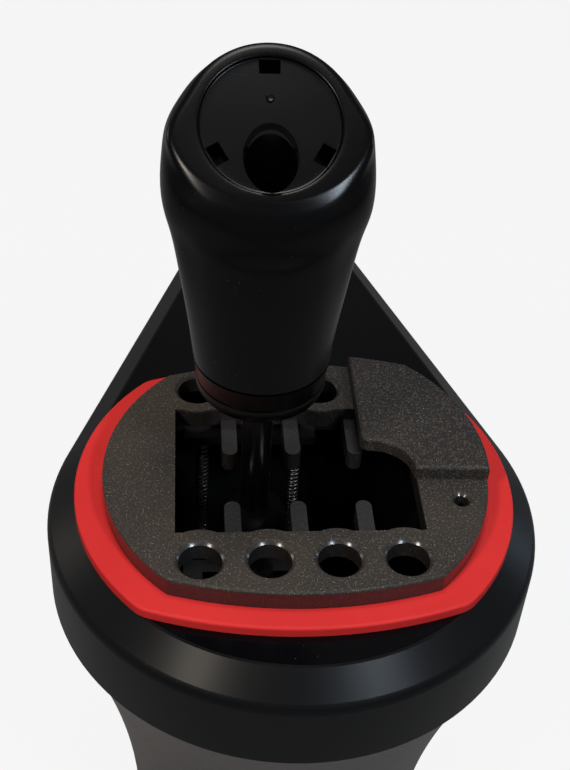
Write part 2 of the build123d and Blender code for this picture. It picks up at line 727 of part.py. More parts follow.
def carrier_screws():
    """Make the four screws that run up through the posts into the gate plate."""
    screws = []
    for x, y in CORNERS:
        place = (x * CARRIER_POST_X, y * CARRIER_POST_Y)
        head = upright(CARRIER_POST_RADIUS, CARRIER_BOTTOM - SMALL_HEAD_HEIGHT, CARRIER_BOTTOM, *place)
        top = PLATE_BOTTOM + CARRIER_THREAD_DEPTH
        screws.append(head + upright(CARRIER_SCREW_RADIUS, CARRIER_BOTTOM, top, *place))
    return Compound(screws)


def mech_frame():
    """Make the frame floor and the two cheeks that carry the select axis."""
    floor = RectangleRounded(2 * FRAME_HALF, 2 * FRAME_HALF, CORNER_ROUND)
    frame = prism(floor, FRAME_HEIGHT, FRAME_TOP)
    for x, y in CORNERS:
        hole = upright(
            BOLT_RADIUS + PANEL_GAP,
            FRAME_HEIGHT - OVERRUN,
            FRAME_TOP + OVERRUN,
            x * BOLT_PITCH / 2,
            y * BOLT_PITCH / 2,
        )
        frame -= hole
    foot = FRAME_TOP - PIVOT
    sides = Pos(0, foot / 2) * Rectangle(2 * CHEEK_HALF_WIDTH, -foot)
    bush = SELECT_PIN_RADIUS + FIT + BUSH_WALL + FIT
    outline = sides + Circle(CHEEK_HALF_WIDTH) - Circle(bush)
    window = Pos(0, foot / 2) * Rot(0, 0, 90) * SlotOverall(-foot / 2, CHEEK_HALF_WIDTH)
    outline -= window
    for low in (CHEEK_INNER, -CHEEK_OUTER):
        plane = Plane(origin=(LEVER_X, low, PIVOT), x_dir=(1, 0, 0), z_dir=(0, -1, 0))
        frame += extrude(plane * outline, amount=-CHEEK_THICKNESS)
    reach = SENSOR_BOARD_HALF_WIDTH - STANDOFF_RADIUS
    board_face = -CHEEK_OUTER - MAGNET_THICKNESS - SENSOR_GAP
    drop = PIVOT - SENSOR_BOARD_HALF_HEIGHT + STANDOFF_RADIUS
    for side in (-1, 1):
        frame += lengthwise(STANDOFF_RADIUS, board_face, -CHEEK_INNER, LEVER_X + side * reach, drop)
    return frame


def frame_posts():
    """Make the four tapped posts between the base plate and the frame."""
    posts = []
    for x, y in CORNERS:
        ring = Circle(POST_RADIUS) - Circle(BOLT_RADIUS)
        post = prism(ring, BASE_THICKNESS, FRAME_HEIGHT)
        posts.append(Pos(x * BOLT_PITCH / 2, y * BOLT_PITCH / 2, 0) * post)
    return Compound(posts)


def frame_screws():
    """Make the four screws that hold the frame down on its posts."""
    screws = []
    for x, y in CORNERS:
        place = (x * BOLT_PITCH / 2, y * BOLT_PITCH / 2)
        head = upright(FRAME_SCREW_HEAD, FRAME_TOP, FRAME_TOP + FRAME_SCREW_HEAD_HEIGHT, *place)
        shank = upright(BOLT_RADIUS - FIT, FRAME_TOP - FRAME_SCREW_LENGTH, FRAME_TOP, *place)
        screws.append(head + shank)
    return Compound(screws)


def bush(bore, length):
    """Make one flanged bush along Z, with its flange below zero."""
    outer = bore + BUSH_WALL
    flange = bore + BUSH_FLANGE_MARGIN
    ring = prism(Circle(outer) - Circle(bore), 0, length)
    return ring + prism(Circle(flange) - Circle(bore), -BUSH_FLANGE, 0)


def select_bushes():
    """Make the two bushes of the cheeks, their flanges toward the cradle."""
    bore = SELECT_PIN_RADIUS + FIT
    pair = []
    for side in (-1, 1):
        place = Pos(LEVER_X, side * CHEEK_INNER, PIVOT) * Rot(-90 * side, 0, 0)
        pair.append(place * bush(bore, CHEEK_THICKNESS))
    return Compound(pair)


def shift_bushes():
    """Make the two bushes of the cradle, their flanges toward the hub."""
    bore = SHIFT_AXLE_RADIUS + FIT
    pair = []
    for side in (-1, 1):
        place = Pos(LEVER_X + side * WINDOW_X, 0, PIVOT) * Rot(0, 90 * side, 0)
        pair.append(place * bush(bore, CRADLE_WALL_X))
    return Compound(pair)


def cradle_yoke():
    """Make the open yoke that tilts sideways and carries the shift axle."""
    outer = RectangleRounded(2 * CRADLE_X, 2 * CRADLE_Y, CRADLE_WALL_Y / 2)
    frame = outer - Rectangle(2 * WINDOW_X, 2 * WINDOW_Y)
    yoke = Pos(LEVER_X, 0, 0) * prism(frame, PIVOT - CRADLE_HALF_HEIGHT, PIVOT + CRADLE_HALF_HEIGHT)
    bore = SHIFT_AXLE_RADIUS + FIT + BUSH_WALL + FIT
    yoke -= across(bore, LEVER_X - CRADLE_X - OVERRUN, LEVER_X + CRADLE_X + OVERRUN, 0, PIVOT)
    yoke -= lengthwise(SELECT_PIN_RADIUS + FIT, -CRADLE_Y - OVERRUN, CRADLE_Y + OVERRUN, LEVER_X, PIVOT)
    face = LEVER_X - CRADLE_X
    reach = WINDOW_Y + CRADLE_WALL_Y / 2
    for side in (-1, 1):
        yoke += across(STANDOFF_RADIUS, shift_board_face(), face, side * reach, PIVOT)
    return yoke


def shift_board_face():
    """Work out the X of the shift sensor board's inner face."""
    return LEVER_X - CRADLE_X - BUSH_FLANGE - MAGNET_THICKNESS - SENSOR_GAP


def detent_bed():
    """Make the strap under the yoke with its three-grooved saddle."""
    low = PIVOT - BED_FLOOR
    strap_half = CRADLE_WALL_X
    under = PIVOT - CRADLE_HALF_HEIGHT
    bed = block((LEVER_X - CRADLE_X, LEVER_X + CRADLE_X), (-strap_half, strap_half), (low, low + BED_STRAP))
    for side in (-1, 1):
        inner = LEVER_X + side * (CRADLE_X - BED_STRAP)
        outer = LEVER_X + side * CRADLE_X
        ends = (min(inner, outer), max(inner, outer))
        bed += block(ends, (-strap_half, strap_half), (low, under))
    crest = PLUNGER_TIP + SEAT_GAP
    angle = math.radians(DETENT_ANGLE)
    saddle_half = crest * math.sin(angle) + PLUNGER_RADIUS + DETENT_DEPTH
    bed += block(
        (LEVER_X - BED_HALF_WIDTH, LEVER_X + BED_HALF_WIDTH),
        (-saddle_half, saddle_half),
        (low, PIVOT - PLUNGER_TIP * math.cos(angle) + DETENT_DEPTH),
    )
    bed -= across(crest, LEVER_X - BED_HALF_WIDTH - SEAT_GAP, LEVER_X + BED_HALF_WIDTH + SEAT_GAP, 0, PIVOT)
    groove = PLUNGER_RADIUS + SEAT_GAP
    distance = crest + DETENT_DEPTH - groove
    for turn in (-1, 0, 1):
        y = distance * math.sin(turn * angle)
        z = PIVOT - distance * math.cos(turn * angle)
        bed -= across(groove, LEVER_X - BED_HALF_WIDTH - SEAT_GAP, LEVER_X + BED_HALF_WIDTH + SEAT_GAP, y, z)
    return bed


def select_pins():
    """Make the two pins of the select axis; the rear one is longer and carries the rocker."""
    front = lengthwise(SELECT_PIN_RADIUS, -CHEEK_OUTER, -WINDOW_Y, LEVER_X, PIVOT)
    rear = lengthwise(SELECT_PIN_RADIUS, WINDOW_Y, ROCKER_FAR, LEVER_X, PIVOT)
    return Compound([front, rear])


def centering_rocker():
    """Make the two-armed rocker with a peg for each spring."""
    arm = Rectangle(2 * ROCKER_ARM, 2 * ROCKER_HALF_HEIGHT)
    outline = arm + Circle(ROCKER_HUB_RADIUS)
    for side in (-1, 1):
        outline += Pos(side * ROCKER_ARM, 0) * Circle(ROCKER_END_RADIUS)
    outline -= Circle(SELECT_PIN_RADIUS + FIT)
    plane = Plane(origin=(LEVER_X, ROCKER_NEAR, PIVOT), x_dir=(1, 0, 0), z_dir=(0, -1, 0))
    rocker = extrude(plane * outline, amount=-ROCKER_THICKNESS)
    for side in (-1, 1):
        x = LEVER_X + side * ROCKER_ARM
        rocker += upright(peg_radius(), PIVOT, SPRING_LOW + PEG_LENGTH, x, SPRING_Y)
    return rocker


def peg_radius():
    """Work out the radius of a peg inside a centring spring."""
    return SPRING_RADIUS - SPRING_WIRE - 2 * FIT


def spring_anchor():
    """Make the bar on the carrier with a hanging peg for each spring."""
    near = SPRING_Y - SPRING_RADIUS - FIT
    x = (LEVER_X - ROCKER_ARM - ANCHOR_MARGIN, LEVER_X + ROCKER_ARM + ANCHOR_MARGIN)
    bar = block(x, (near, near + ANCHOR_DEPTH), (DECK_BOTTOM, DECK_BOTTOM + ANCHOR_THICKNESS))
    for side in (-1, 1):
        place = (LEVER_X + side * ROCKER_ARM, SPRING_Y)
        bar += upright(peg_radius(), SPRING_HIGH - PEG_LENGTH, DECK_BOTTOM + ANCHOR_THICKNESS, *place)
    return bar


def half_turn(start, end, radius, pitch):
    """Make the two arcs that follow half a turn of a helix, touching it at both ends."""
    points = []
    tangents = []
    for angle in (start, end):
        points.append(
            Vector(radius * math.cos(angle), radius * math.sin(angle), pitch * angle / (2 * math.pi))
        )
        tangents.append(
            Vector(-radius * math.sin(angle), radius * math.cos(angle), pitch / (2 * math.pi)).normalized()
        )
    chord = points[1] - points[0]
    both = tangents[0] + tangents[1]
    spread = 2 * (1 - tangents[0].dot(tangents[1]))
    along = chord.dot(both)
    arm = (math.sqrt(along * along + spread * chord.dot(chord)) - along) / spread
    middle = (points[0] + points[1] + (tangents[0] - tangents[1]) * arm) * 0.5
    joint = (middle - points[0] - tangents[0] * arm).normalized()
    return [TangentArc(points[0], middle, tangent=tangents[0]), TangentArc(middle, points[1], tangent=joint)]


def coil(radius, wire, low, high, turns, name):
    """Sweep one unbroken coil spring along Z and print its least gap to itself."""
    mean = radius - wire / 2
    pitch = (high - low - wire) / turns
    edges = []
    for half in range(2 * turns):
        edges += half_turn(half * math.pi, (half + 1) * math.pi, mean, pitch)
    path = Wire(edges)
    start = path @ 0
    section = Plane(origin=start, z_dir=path % 0) * Circle(wire / 2)
    print(name, "least gap to itself", round(least_gap(mean, pitch, turns, wire), 3))
    return Pos(0, 0, low + wire / 2) * sweep(section, path=path)


def least_gap(mean, pitch, turns, wire):
    """Measure the least gap between the turns of a coil on points along it."""
    steps = 48
    points = []
    for step in range(steps * turns):
        angle = 2 * math.pi * step / steps
        points.append((mean * math.cos(angle), mean * math.sin(angle), pitch * step / steps))
    first = points[0]
    return min(math.dist(first, other) for other in points[steps // 2:]) - wire


def centering_spring(side, name):
    """Make one centring spring between its rocker peg and its anchor peg."""
    spring = coil(SPRING_RADIUS, SPRING_WIRE, SPRING_LOW, SPRING_HIGH, SPRING_TURNS, name)
    return Pos(LEVER_X + side * ROCKER_ARM, SPRING_Y, 0) * spring


def lever_hub():
    """Make the hub with its barrel, lever socket and detent stem."""
    hub = across(HUB_BARREL_RADIUS, LEVER_X - HUB_HALF_WIDTH, LEVER_X + HUB_HALF_WIDTH, 0, PIVOT)
    hub += upright(HUB_SOCKET_RADIUS, PIVOT, PIVOT + HUB_SOCKET_HEIGHT, LEVER_X)
    hub += upright(HUB_STEM_RADIUS, PIVOT - HUB_STEM_DROP, PIVOT, LEVER_X)
    low = LEVER_X - HUB_HALF_WIDTH - OVERRUN
    high = LEVER_X + HUB_HALF_WIDTH + OVERRUN
    hub -= across(SHIFT_AXLE_RADIUS + FIT, low, high, 0, PIVOT)
    hub -= upright(LEVER_RADIUS + FIT, PIVOT + LEVER_FOOT, PIVOT + HUB_SOCKET_HEIGHT + OVERRUN, LEVER_X)
    hub -= upright(PLUNGER_RADIUS + FIT, PIVOT - HUB_STEM_DROP - OVERRUN, PIVOT - PLUNGER_CEILING, LEVER_X)
    hub -= lengthwise(
        HUB_SCREW_RADIUS + FIT, -HUB_SOCKET_RADIUS - OVERRUN, 0, LEVER_X, PIVOT + HUB_SCREW_HEIGHT
    )
    return hub


def hub_screw():
    """Make the grub screw that holds the lever in the hub."""
    far = -LEVER_RADIUS - FIT
    screw = lengthwise(HUB_SCREW_RADIUS, -HUB_SOCKET_RADIUS, far, LEVER_X, PIVOT + HUB_SCREW_HEIGHT)
    return screw


def shift_axle():
    """Make the axle through the cradle and the hub."""
    left = LEVER_X - CRADLE_X - BUSH_FLANGE
    right = LEVER_X + CRADLE_X + BUSH_FLANGE
    return across(SHIFT_AXLE_RADIUS, left, right, 0, PIVOT)


def lever_rod():
    """Make the lever with its tapped top."""
    rod = upright(LEVER_RADIUS, PIVOT + LEVER_FOOT, ROD_TOP, LEVER_X)
    bore = KNOB_BOLT_RADIUS + FIT
    return rod - upright(bore, ROD_TOP - KNOB_BOLT_LENGTH - SEAT_GAP, ROD_TOP + OVERRUN, LEVER_X)


def lever_dome():
    """Make the domed collar round the lever under the gate."""
    high = GATE_HEIGHT - DOME_DROP
    low = high - DOME_HEIGHT
    neck = LEVER_RADIUS + DOME_SHOULDER
    bore = LEVER_RADIUS + FIT
    middle_x = DOME_RADIUS - (DOME_RADIUS - neck) / 4
    edges = [
        Line((bore, low), (DOME_RADIUS, low)),
        Line((DOME_RADIUS, low), (DOME_RADIUS, low + DOME_SHOULDER)),
        ThreePointArc((DOME_RADIUS, low + DOME_SHOULDER), (middle_x, high - DOME_SHOULDER), (neck, high)),
        Line((neck, high), (bore, high)),
        Line((bore, high), (bore, low)),
    ]
    return Pos(LEVER_X, 0, 0) * revolve(Plane.XZ * make_face(Curve() + edges), Axis.Z)


def detent_plunger():
    """Make the round-nosed plunger in the hub's stem."""
    tip = PIVOT - PLUNGER_TIP
    body = upright(PLUNGER_RADIUS, tip + PLUNGER_RADIUS, tip + PLUNGER_LENGTH, LEVER_X)
    nose = Pos(LEVER_X, 0, tip + PLUNGER_RADIUS) * Sphere(PLUNGER_RADIUS)
    return body + nose


def detent_spring():
    """Make the short spring above the plunger."""
    low = PIVOT - PLUNGER_TIP + PLUNGER_LENGTH + FIT
    high = PIVOT - PLUNGER_CEILING - FIT
    spring = coil(PLUNGER_RADIUS - FIT, DETENT_WIRE, low, high, DETENT_TURNS, "detent_spring")
    return Pos(LEVER_X, 0, 0) * spring


def select_magnet():
    """Make the magnet on the front select pin."""
    return lengthwise(MAGNET_RADIUS, -CHEEK_OUTER - MAGNET_THICKNESS, -CHEEK_OUTER, LEVER_X, PIVOT)


def shift_magnet():
    """Make the magnet on the left end of the shift axle."""
    right = LEVER_X - CRADLE_X - BUSH_FLANGE
    return across(MAGNET_RADIUS, right - MAGNET_THICKNESS, right, 0, PIVOT)


def select_sensor_board():
    """Make the sensor board on the front cheek, with its chip facing the magnet."""
    face = -CHEEK_OUTER - MAGNET_THICKNESS - SENSOR_GAP
    x = (LEVER_X - SENSOR_BOARD_HALF_WIDTH, LEVER_X + SENSOR_BOARD_HALF_WIDTH)
    z = (PIVOT - SENSOR_BOARD_HALF_HEIGHT, PIVOT + SENSOR_BOARD_HALF_HEIGHT)
    board = block(x, (face - BOARD_THICKNESS, face), z)
    half = CHIP_SIZE / 2
    chip_back = face - BOARD_THICKNESS - CHIP_THICKNESS
    chip = block(
        (LEVER_X - half, LEVER_X + half), (chip_back, face - BOARD_THICKNESS), (PIVOT - half, PIVOT + half)
    )
    return board + chip


def shift_sensor_board():
    """Make the sensor board on the cradle, with its chip facing the magnet."""
    face = shift_board_face()
    reach = WINDOW_Y + CRADLE_WALL_Y
    half_height = CRADLE_HALF_HEIGHT
    back = face - BOARD_THICKNESS
    board = block((back, face), (-reach, reach), (PIVOT - half_height, PIVOT + half_height))
    half = CHIP_SIZE / 2
    return board + block((back - CHIP_THICKNESS, back), (-half, half), (PIVOT - half, PIVOT + half))


def main_board():
    """Make the main circuit board with its controller and connectors."""
    board = block(
        (-MAIN_BOARD_HALF_WIDTH, MAIN_BOARD_HALF_WIDTH),
        (-MAIN_BOARD_NEAR, MAIN_BOARD_FAR),
        (MAIN_BOARD_LOW, MAIN_BOARD_HIGH),
    )
    half = CONTROLLER_SIZE / 2
    board += block((-half, half), (-half, half), (MAIN_BOARD_LOW, MAIN_BOARD_HIGH + CHIP_THICKNESS))
    near = -MAIN_BOARD_NEAR + MAIN_SPACER_INSET
    for side in (-1, 1):
        middle = side * MAIN_BOARD_HALF_WIDTH / 2
        x = (middle - CONNECTOR_LENGTH / 2, middle + CONNECTOR_LENGTH / 2)
        high = MAIN_BOARD_HIGH + CONNECTOR_HEIGHT
        board += block(x, (near, near + CONNECTOR_WIDTH), (MAIN_BOARD_LOW, high))
    return board


def board_spacers():
    """Make the four spacers between the base plate and the main board."""
    x = MAIN_BOARD_HALF_WIDTH - MAIN_SPACER_INSET
    near = -MAIN_BOARD_NEAR + MAIN_SPACER_INSET
    far = MAIN_BOARD_FAR - MAIN_SPACER_INSET
    places = [(side * x, y) for y in (near, far) for side in (-1, 1)]
    return Compound([upright(MAIN_SPACER_RADIUS, BASE_THICKNESS, MAIN_BOARD_LOW, *place) for place in places])


def round_socket():
    """Make the round multi-pin socket of the back wall."""
    x = ROUND_SOCKET_X
    z = SOCKET_HEIGHT
    face = BODY_BACK + SOCKET_FLANGE
    socket = lengthwise(ROUND_SOCKET_RADIUS, BODY_BACK - ROUND_SOCKET_DEPTH, face, x, z)
    socket += lengthwise(ROUND_SOCKET_RADIUS + SOCKET_FLANGE_MARGIN, BODY_BACK, face, x, z)
    socket -= lengthwise(ROUND_SOCKET_MOUTH, face - SOCKET_POCKET, face + OVERRUN, x, z)
    for pin in range(5):
        angle = math.radians(45 * pin)
        pin_x = x + SOCKET_PIN_CIRCLE * math.cos(angle)
        pin_z = z + SOCKET_PIN_CIRCLE * math.sin(angle)
        socket += lengthwise(SOCKET_PIN_RADIUS, face - SOCKET_POCKET, BODY_BACK, pin_x, pin_z)
    return socket


def usb_socket():
    """Make the square USB socket of the back wall with its tongue."""
    x = USB_SOCKET_X
    z = SOCKET_HEIGHT
    face = BODY_BACK + SOCKET_FLANGE
    shell = block(
        (x - USB_HALF_WIDTH, x + USB_HALF_WIDTH),
        (BODY_BACK - USB_DEPTH, face),
        (z - USB_HALF_HEIGHT, z + USB_HALF_HEIGHT),
    )
    shell -= block(
        (x - USB_MOUTH_HALF_WIDTH, x + USB_MOUTH_HALF_WIDTH),
        (face - USB_POCKET, face + OVERRUN),
        (z - USB_MOUTH_HALF_HEIGHT, z + USB_MOUTH_HALF_HEIGHT),
    )
    tongue_y = (face - USB_POCKET, face - USB_POCKET + USB_TONGUE_LENGTH)
    shell += block(
        (x - USB_TONGUE_HALF_WIDTH, x + USB_TONGUE_HALF_WIDTH),
        tongue_y,
        (z - USB_TONGUE_HALF_HEIGHT, z + USB_TONGUE_HALF_HEIGHT),
    )
    return shell


def knob_collar():
    """Make the rounded lower collar of the knob with its fine seam."""
    bore = LEVER_RADIUS + FIT
    seam = KNOB_BOTTOM + COLLAR_SEAM_HEIGHT
    seam_top = seam + COLLAR_SEAM_WIDTH
    mid_x = COLLAR_SEAM_RADIUS - (COLLAR_SEAM_RADIUS - COLLAR_FOOT_RADIUS) / 4
    mid_z = KNOB_BOTTOM + COLLAR_SEAM_HEIGHT / 3
    groove = COLLAR_SEAM_RADIUS - COLLAR_SEAM_DEPTH
    edges = [
        Line((bore, KNOB_BOTTOM), (COLLAR_FOOT_RADIUS, KNOB_BOTTOM)),
        ThreePointArc((COLLAR_FOOT_RADIUS, KNOB_BOTTOM), (mid_x, mid_z), (COLLAR_SEAM_RADIUS, seam)),
        Line((COLLAR_SEAM_RADIUS, seam), (groove, seam)),
        Line((groove, seam), (groove, seam_top)),
        Line((groove, seam_top), (COLLAR_SEAM_RADIUS, seam_top)),
        Line((COLLAR_SEAM_RADIUS, seam_top), (COLLAR_TOP_RADIUS, COLLAR_TOP)),
        Line((COLLAR_TOP_RADIUS, COLLAR_TOP), (bore, COLLAR_TOP)),
        Line((bore, COLLAR_TOP), (bore, KNOB_BOTTOM)),
    ]
    return Pos(LEVER_X, 0, 0) * revolve(Plane.XZ * make_face(Curve() + edges), Axis.Z)


def cup_floor():
    """Give the place and tilt of the recess in the knob's head."""
    head = Pos(LEVER_X, KNOB_LEAN, COLLAR_TOP + KNOB_BODY_HEIGHT) * Rot(KNOB_TILT, 0, 0)
    return head * Pos(0, 0, -CUP_DEPTH)


def knob():
    """Make the leaning pear-shaped knob with its recess, clip slots and bolt hole."""
    rings = []
    for height, radius, lean, tilt in KNOB_RING_SHARES:
        place = Pos(LEVER_X, lean * KNOB_LEAN, COLLAR_TOP + height * KNOB_BODY_HEIGHT)
        rings.append(place * Rot(tilt * KNOB_TILT, 0, 0) * Circle(radius * KNOB_RADIUS))
    body = loft(rings)
    body -= cup_floor() * upright(CUP_RADIUS, 0, OVERRUN)
    for step in range(3):
        turn = Rot(0, 0, step * CLIP_TURN) * Pos(0, CLIP_CIRCLE)
        body -= cup_floor() * turn * Box(CLIP_WIDTH, CLIP_DEPTH, 2 * CLIP_DROP)
    body += cup_floor() * upright(NUB_RADIUS, -CUP_DEPTH, NUB_HEIGHT, 0, NUB_DISTANCE)
    body -= upright(LEVER_RADIUS + FIT, COLLAR_TOP - OVERRUN, ROD_TOP, LEVER_X)
    return body - upright(BOLT_HOLE_RADIUS, ROD_TOP, ROD_TOP + REACH, LEVER_X)


def knob_washer():
    """Make the washer that holds the knob down on the lever."""
    ring = Circle(WASHER_RADIUS) - Circle(KNOB_BOLT_RADIUS + PANEL_GAP)
    return Pos(LEVER_X, 0, 0) * prism(ring, ROD_TOP, ROD_TOP + WASHER_THICKNESS)


def knob_bolt():
    """Make the socket-headed bolt in the top of the lever."""
    seat = ROD_TOP + WASHER_THICKNESS
    top = seat + KNOB_BOLT_HEAD_HEIGHT
    bolt = upright(KNOB_BOLT_RADIUS, ROD_TOP - KNOB_BOLT_LENGTH, seat, LEVER_X)
    bolt += upright(KNOB_BOLT_HEAD_RADIUS, seat, top, LEVER_X)
    socket = RegularPolygon(KNOB_BOLT_HEX / 2, 6, major_radius=False)
    return bolt - Pos(LEVER_X, 0, 0) * prism(socket, top - KNOB_BOLT_HEX_DEPTH, top + OVERRUN)


def jaw_plate():
    """Make the plate that closes the neck and bears on the table."""
    outline = teardrop(-BODY_TOP_STEP) - Circle(BODY_TOP_RADIUS + SEAT_GAP)
    outline &= Pos(0, REACH / 2) * Rectangle(REACH, REACH)
    keep = Pos(0, BODY_TOP_RADIUS / 2 + REACH / 2) * Rectangle(REACH, REACH)
    plate = prism(outline & keep, JAW_PLATE_BOTTOM, SHELL_BOTTOM)
    for x, y in neck_boss_places():
        plate -= upright(SMALL_SCREW_RADIUS + PANEL_GAP, JAW_PLATE_BOTTOM - OVERRUN, SHELL_TOP, x, y)
        sink = JAW_PLATE_BOTTOM + SMALL_HEAD_HEIGHT
        plate -= upright(SMALL_HEAD_RADIUS + PANEL_GAP, JAW_PLATE_BOTTOM - OVERRUN, sink, x, y)
    return plate


def jaw_pad():
    """Make the rubber pad under the jaw plate."""
    outline = teardrop(-JAW_PAD_INSET) & Pos(0, JAW_PAD_START + REACH / 2) * Rectangle(REACH, REACH)
    return prism(outline, JAW_PLATE_BOTTOM - JAW_PAD_THICKNESS, JAW_PLATE_BOTTOM)


def clamp_arm():
    """Make the arm that reaches under the table, with its flange and ribs."""
    flange_face = BODY_BACK + ARM_FLANGE_THICKNESS
    flange = block(
        (-ARM_FOOT_HALF_WIDTH, ARM_FOOT_HALF_WIDTH),
        (BODY_BACK, flange_face),
        (ARM_FLANGE_LOW, ARM_FLANGE_HIGH),
    )
    flange = fillet(flange.edges().filter_by(Axis.Y), CORNER_ROUND)
    taper = Polygon(
        (-ARM_FOOT_HALF_WIDTH, BODY_BACK),
        (ARM_FOOT_HALF_WIDTH, BODY_BACK),
        (ARM_END_RADIUS, SPINDLE_Y),
        (-ARM_END_RADIUS, SPINDLE_Y),
        align=None,
    )
    slab = prism(taper + Pos(0, SPINDLE_Y) * Circle(ARM_END_RADIUS), ARM_HEIGHT, ARM_TOP)
    rib_outline = Polygon(
        (flange_face, ARM_TOP),
        (flange_face + ARM_RIB_LENGTH, ARM_TOP),
        (flange_face, ARM_FLANGE_HIGH),
        align=None,
    )
    rib = extrude(Plane.YZ * rib_outline, amount=ARM_RIB_HALF_WIDTH, both=True)
    arm = flange + slab + rib
    arm -= upright(NUT_RADIUS + FIT, ARM_HEIGHT - OVERRUN, ARM_TOP + OVERRUN, 0, SPINDLE_Y)
    for x, z in arm_bolt_places():
        arm -= lengthwise(ARM_BOLT_RADIUS + PANEL_GAP, BODY_BACK - OVERRUN, flange_face + OVERRUN, x, z)
        arm -= lengthwise(ARM_BOLT_HEAD_RADIUS + SEAT_GAP, flange_face, flange_face + OVERRUN, x, z)
    return arm


def arm_bolts():
    """Make the four bolts of the clamp arm."""
    face = BODY_BACK + ARM_FLANGE_THICKNESS
    end = BODY_BACK - BODY_WALL - ARM_NUT_HEIGHT - ARM_BOLT_END
    bolts = []
    for x, z in arm_bolt_places():
        head = lengthwise(ARM_BOLT_HEAD_RADIUS, face, face + ARM_BOLT_HEAD_HEIGHT, x, z)
        bolts.append(head + lengthwise(ARM_BOLT_RADIUS, end, face, x, z))
    return Compound(bolts)


def arm_nuts():
    """Make the four nuts inside the back wall."""
    inner = BODY_BACK - BODY_WALL
    outline = RegularPolygon(ARM_BOLT_HEAD_RADIUS, 6, major_radius=False) - Circle(ARM_BOLT_RADIUS + FIT)
    nuts = []
    for x, z in arm_bolt_places():
        plane = Plane(origin=(x, inner, z), x_dir=(1, 0, 0), z_dir=(0, -1, 0))
        nuts.append(extrude(plane * outline, amount=ARM_NUT_HEIGHT))
    return Compound(nuts)


def spindle_nut():
    """Make the flanged threaded bush in the arm."""
    bore = SPINDLE_RADIUS + FIT
    nut = prism(Circle(NUT_RADIUS) - Circle(bore), ARM_HEIGHT, ARM_TOP)
    nut += prism(Circle(NUT_FLANGE_RADIUS) - Circle(bore), ARM_HEIGHT - NUT_FLANGE_THICKNESS, ARM_HEIGHT)
    return Pos(0, SPINDLE_Y, 0) * nut


def clamp_spindle():
    """Make the clamp screw with its turned tip."""
    spindle = upright(SPINDLE_RADIUS, SPINDLE_LOW, SPINDLE_HIGH, 0, SPINDLE_Y)
    tip_top = SPINDLE_HIGH + SPINDLE_TIP_HEIGHT
    return spindle + upright(SPINDLE_TIP_RADIUS, SPINDLE_HIGH, tip_top, 0, SPINDLE_Y)


def hand_wheel():
    """Make the lobed hand wheel at the foot of the spindle."""
    outline = Circle(WHEEL_RADIUS)
    for lobe in range(WHEEL_LOBES):
        outline -= Rot(0, 0, 360 * lobe / WHEEL_LOBES) * Pos(WHEEL_RADIUS + WHEEL_LOBE_RADIUS / 2, 0) * Circle(
            WHEEL_LOBE_RADIUS
        )
    wheel = prism(outline, WHEEL_LOW, WHEEL_LOW + WHEEL_THICKNESS)
    rims = wheel.faces().sort_by(Axis.Z)
    wheel = fillet(rims[-1].edges() + rims[0].edges(), WHEEL_ROUND)
    wheel = Pos(0, SPINDLE_Y, 0) * wheel
    return wheel - upright(SPINDLE_RADIUS + FIT, SPINDLE_LOW, WHEEL_LOW + WHEEL_THICKNESS + OVERRUN, 0, SPINDLE_Y)


def pressure_plate():
    """Make the swivel plate on the spindle's tip."""
    low = SPINDLE_HIGH + FIT
    plate = upright(PRESS_RADIUS, low, low + PRESS_THICKNESS, 0, SPINDLE_Y)
    pocket_top = SPINDLE_HIGH + SPINDLE_TIP_HEIGHT + SEAT_GAP
    return plate - upright(SPINDLE_TIP_RADIUS + FIT, low - OVERRUN, pocket_top, 0, SPINDLE_Y)


def pressure_pad():
    """Make the rubber pad on the swivel plate."""
    low = SPINDLE_HIGH + FIT + PRESS_THICKNESS
    return upright(PRESS_RADIUS - PRESS_PAD_INSET, low, low + PRESS_PAD_THICKNESS, 0, SPINDLE_Y)


def nodes():
    """Build every node of the shifter by name."""
    return {
        "gate_plate": gate_plate(),
        "trim_ring": trim_ring(),
        "gloss_panel": gloss_panel(),
        "top_shell": top_shell(),
        "lower_body": lower_body(),
        "base_plate": base_plate(),
        "base_screws": base_screws(),
        "shell_screws": shell_screws(),
        "plate_carrier": plate_carrier(),
        "carrier_screws": carrier_screws(),
        "mech_frame": mech_frame(),
        "frame_posts": frame_posts(),
        "frame_screws": frame_screws(),
        "select_bushes": select_bushes(),
        "spring_anchor": spring_anchor(),
        "select_sensor_board": select_sensor_board(),
        "main_board": main_board(),
        "board_spacers": board_spacers(),
        "round_socket": round_socket(),
        "usb_socket": usb_socket(),
        "jaw_plate": jaw_plate(),
        "jaw_screws": jaw_screws(),
        "jaw_pad": jaw_pad(),
        "clamp_arm": clamp_arm(),
        "arm_bolts": arm_bolts(),
        "arm_nuts": arm_nuts(),
        "spindle_nut": spindle_nut(),
        "cradle_yoke": cradle_yoke(),
        "shift_bushes": shift_bushes(),
        "detent_bed": detent_bed(),
        "select_pins": select_pins(),
        "select_magnet": select_magnet(),
        "centering_rocker": centering_rocker(),
        "shift_sensor_board": shift_sensor_board(),
        "centering_spring_left": centering_spring(-1, "centering_spring_left"),
        "centering_spring_right": centering_spring(1, "centering_spring_right"),
        "lever_hub": lever_hub(),
        "hub_screw": hub_screw(),
        "shift_axle": shift_axle(),
        "shift_magnet": shift_magnet(),
        "lever_rod": lever_rod(),
        "lever_dome": lever_dome(),
        "detent_spring": detent_spring(),
        "knob_collar": knob_collar(),
        "knob": knob(),
        "knob_washer": knob_washer(),
        "knob_bolt": knob_bolt(),
        "detent_plunger": detent_plunger(),
        "pressure_plate": pressure_plate(),
        "pressure_pad": pressure_pad(),
        "clamp_spindle": clamp_spindle(),
        "hand_wheel": hand_wheel(),
    }


os.makedirs("parts", exist_ok=True)
for node_name, node_shape in nodes().items():
    export_step(node_shape, f"parts/{node_name}.step")
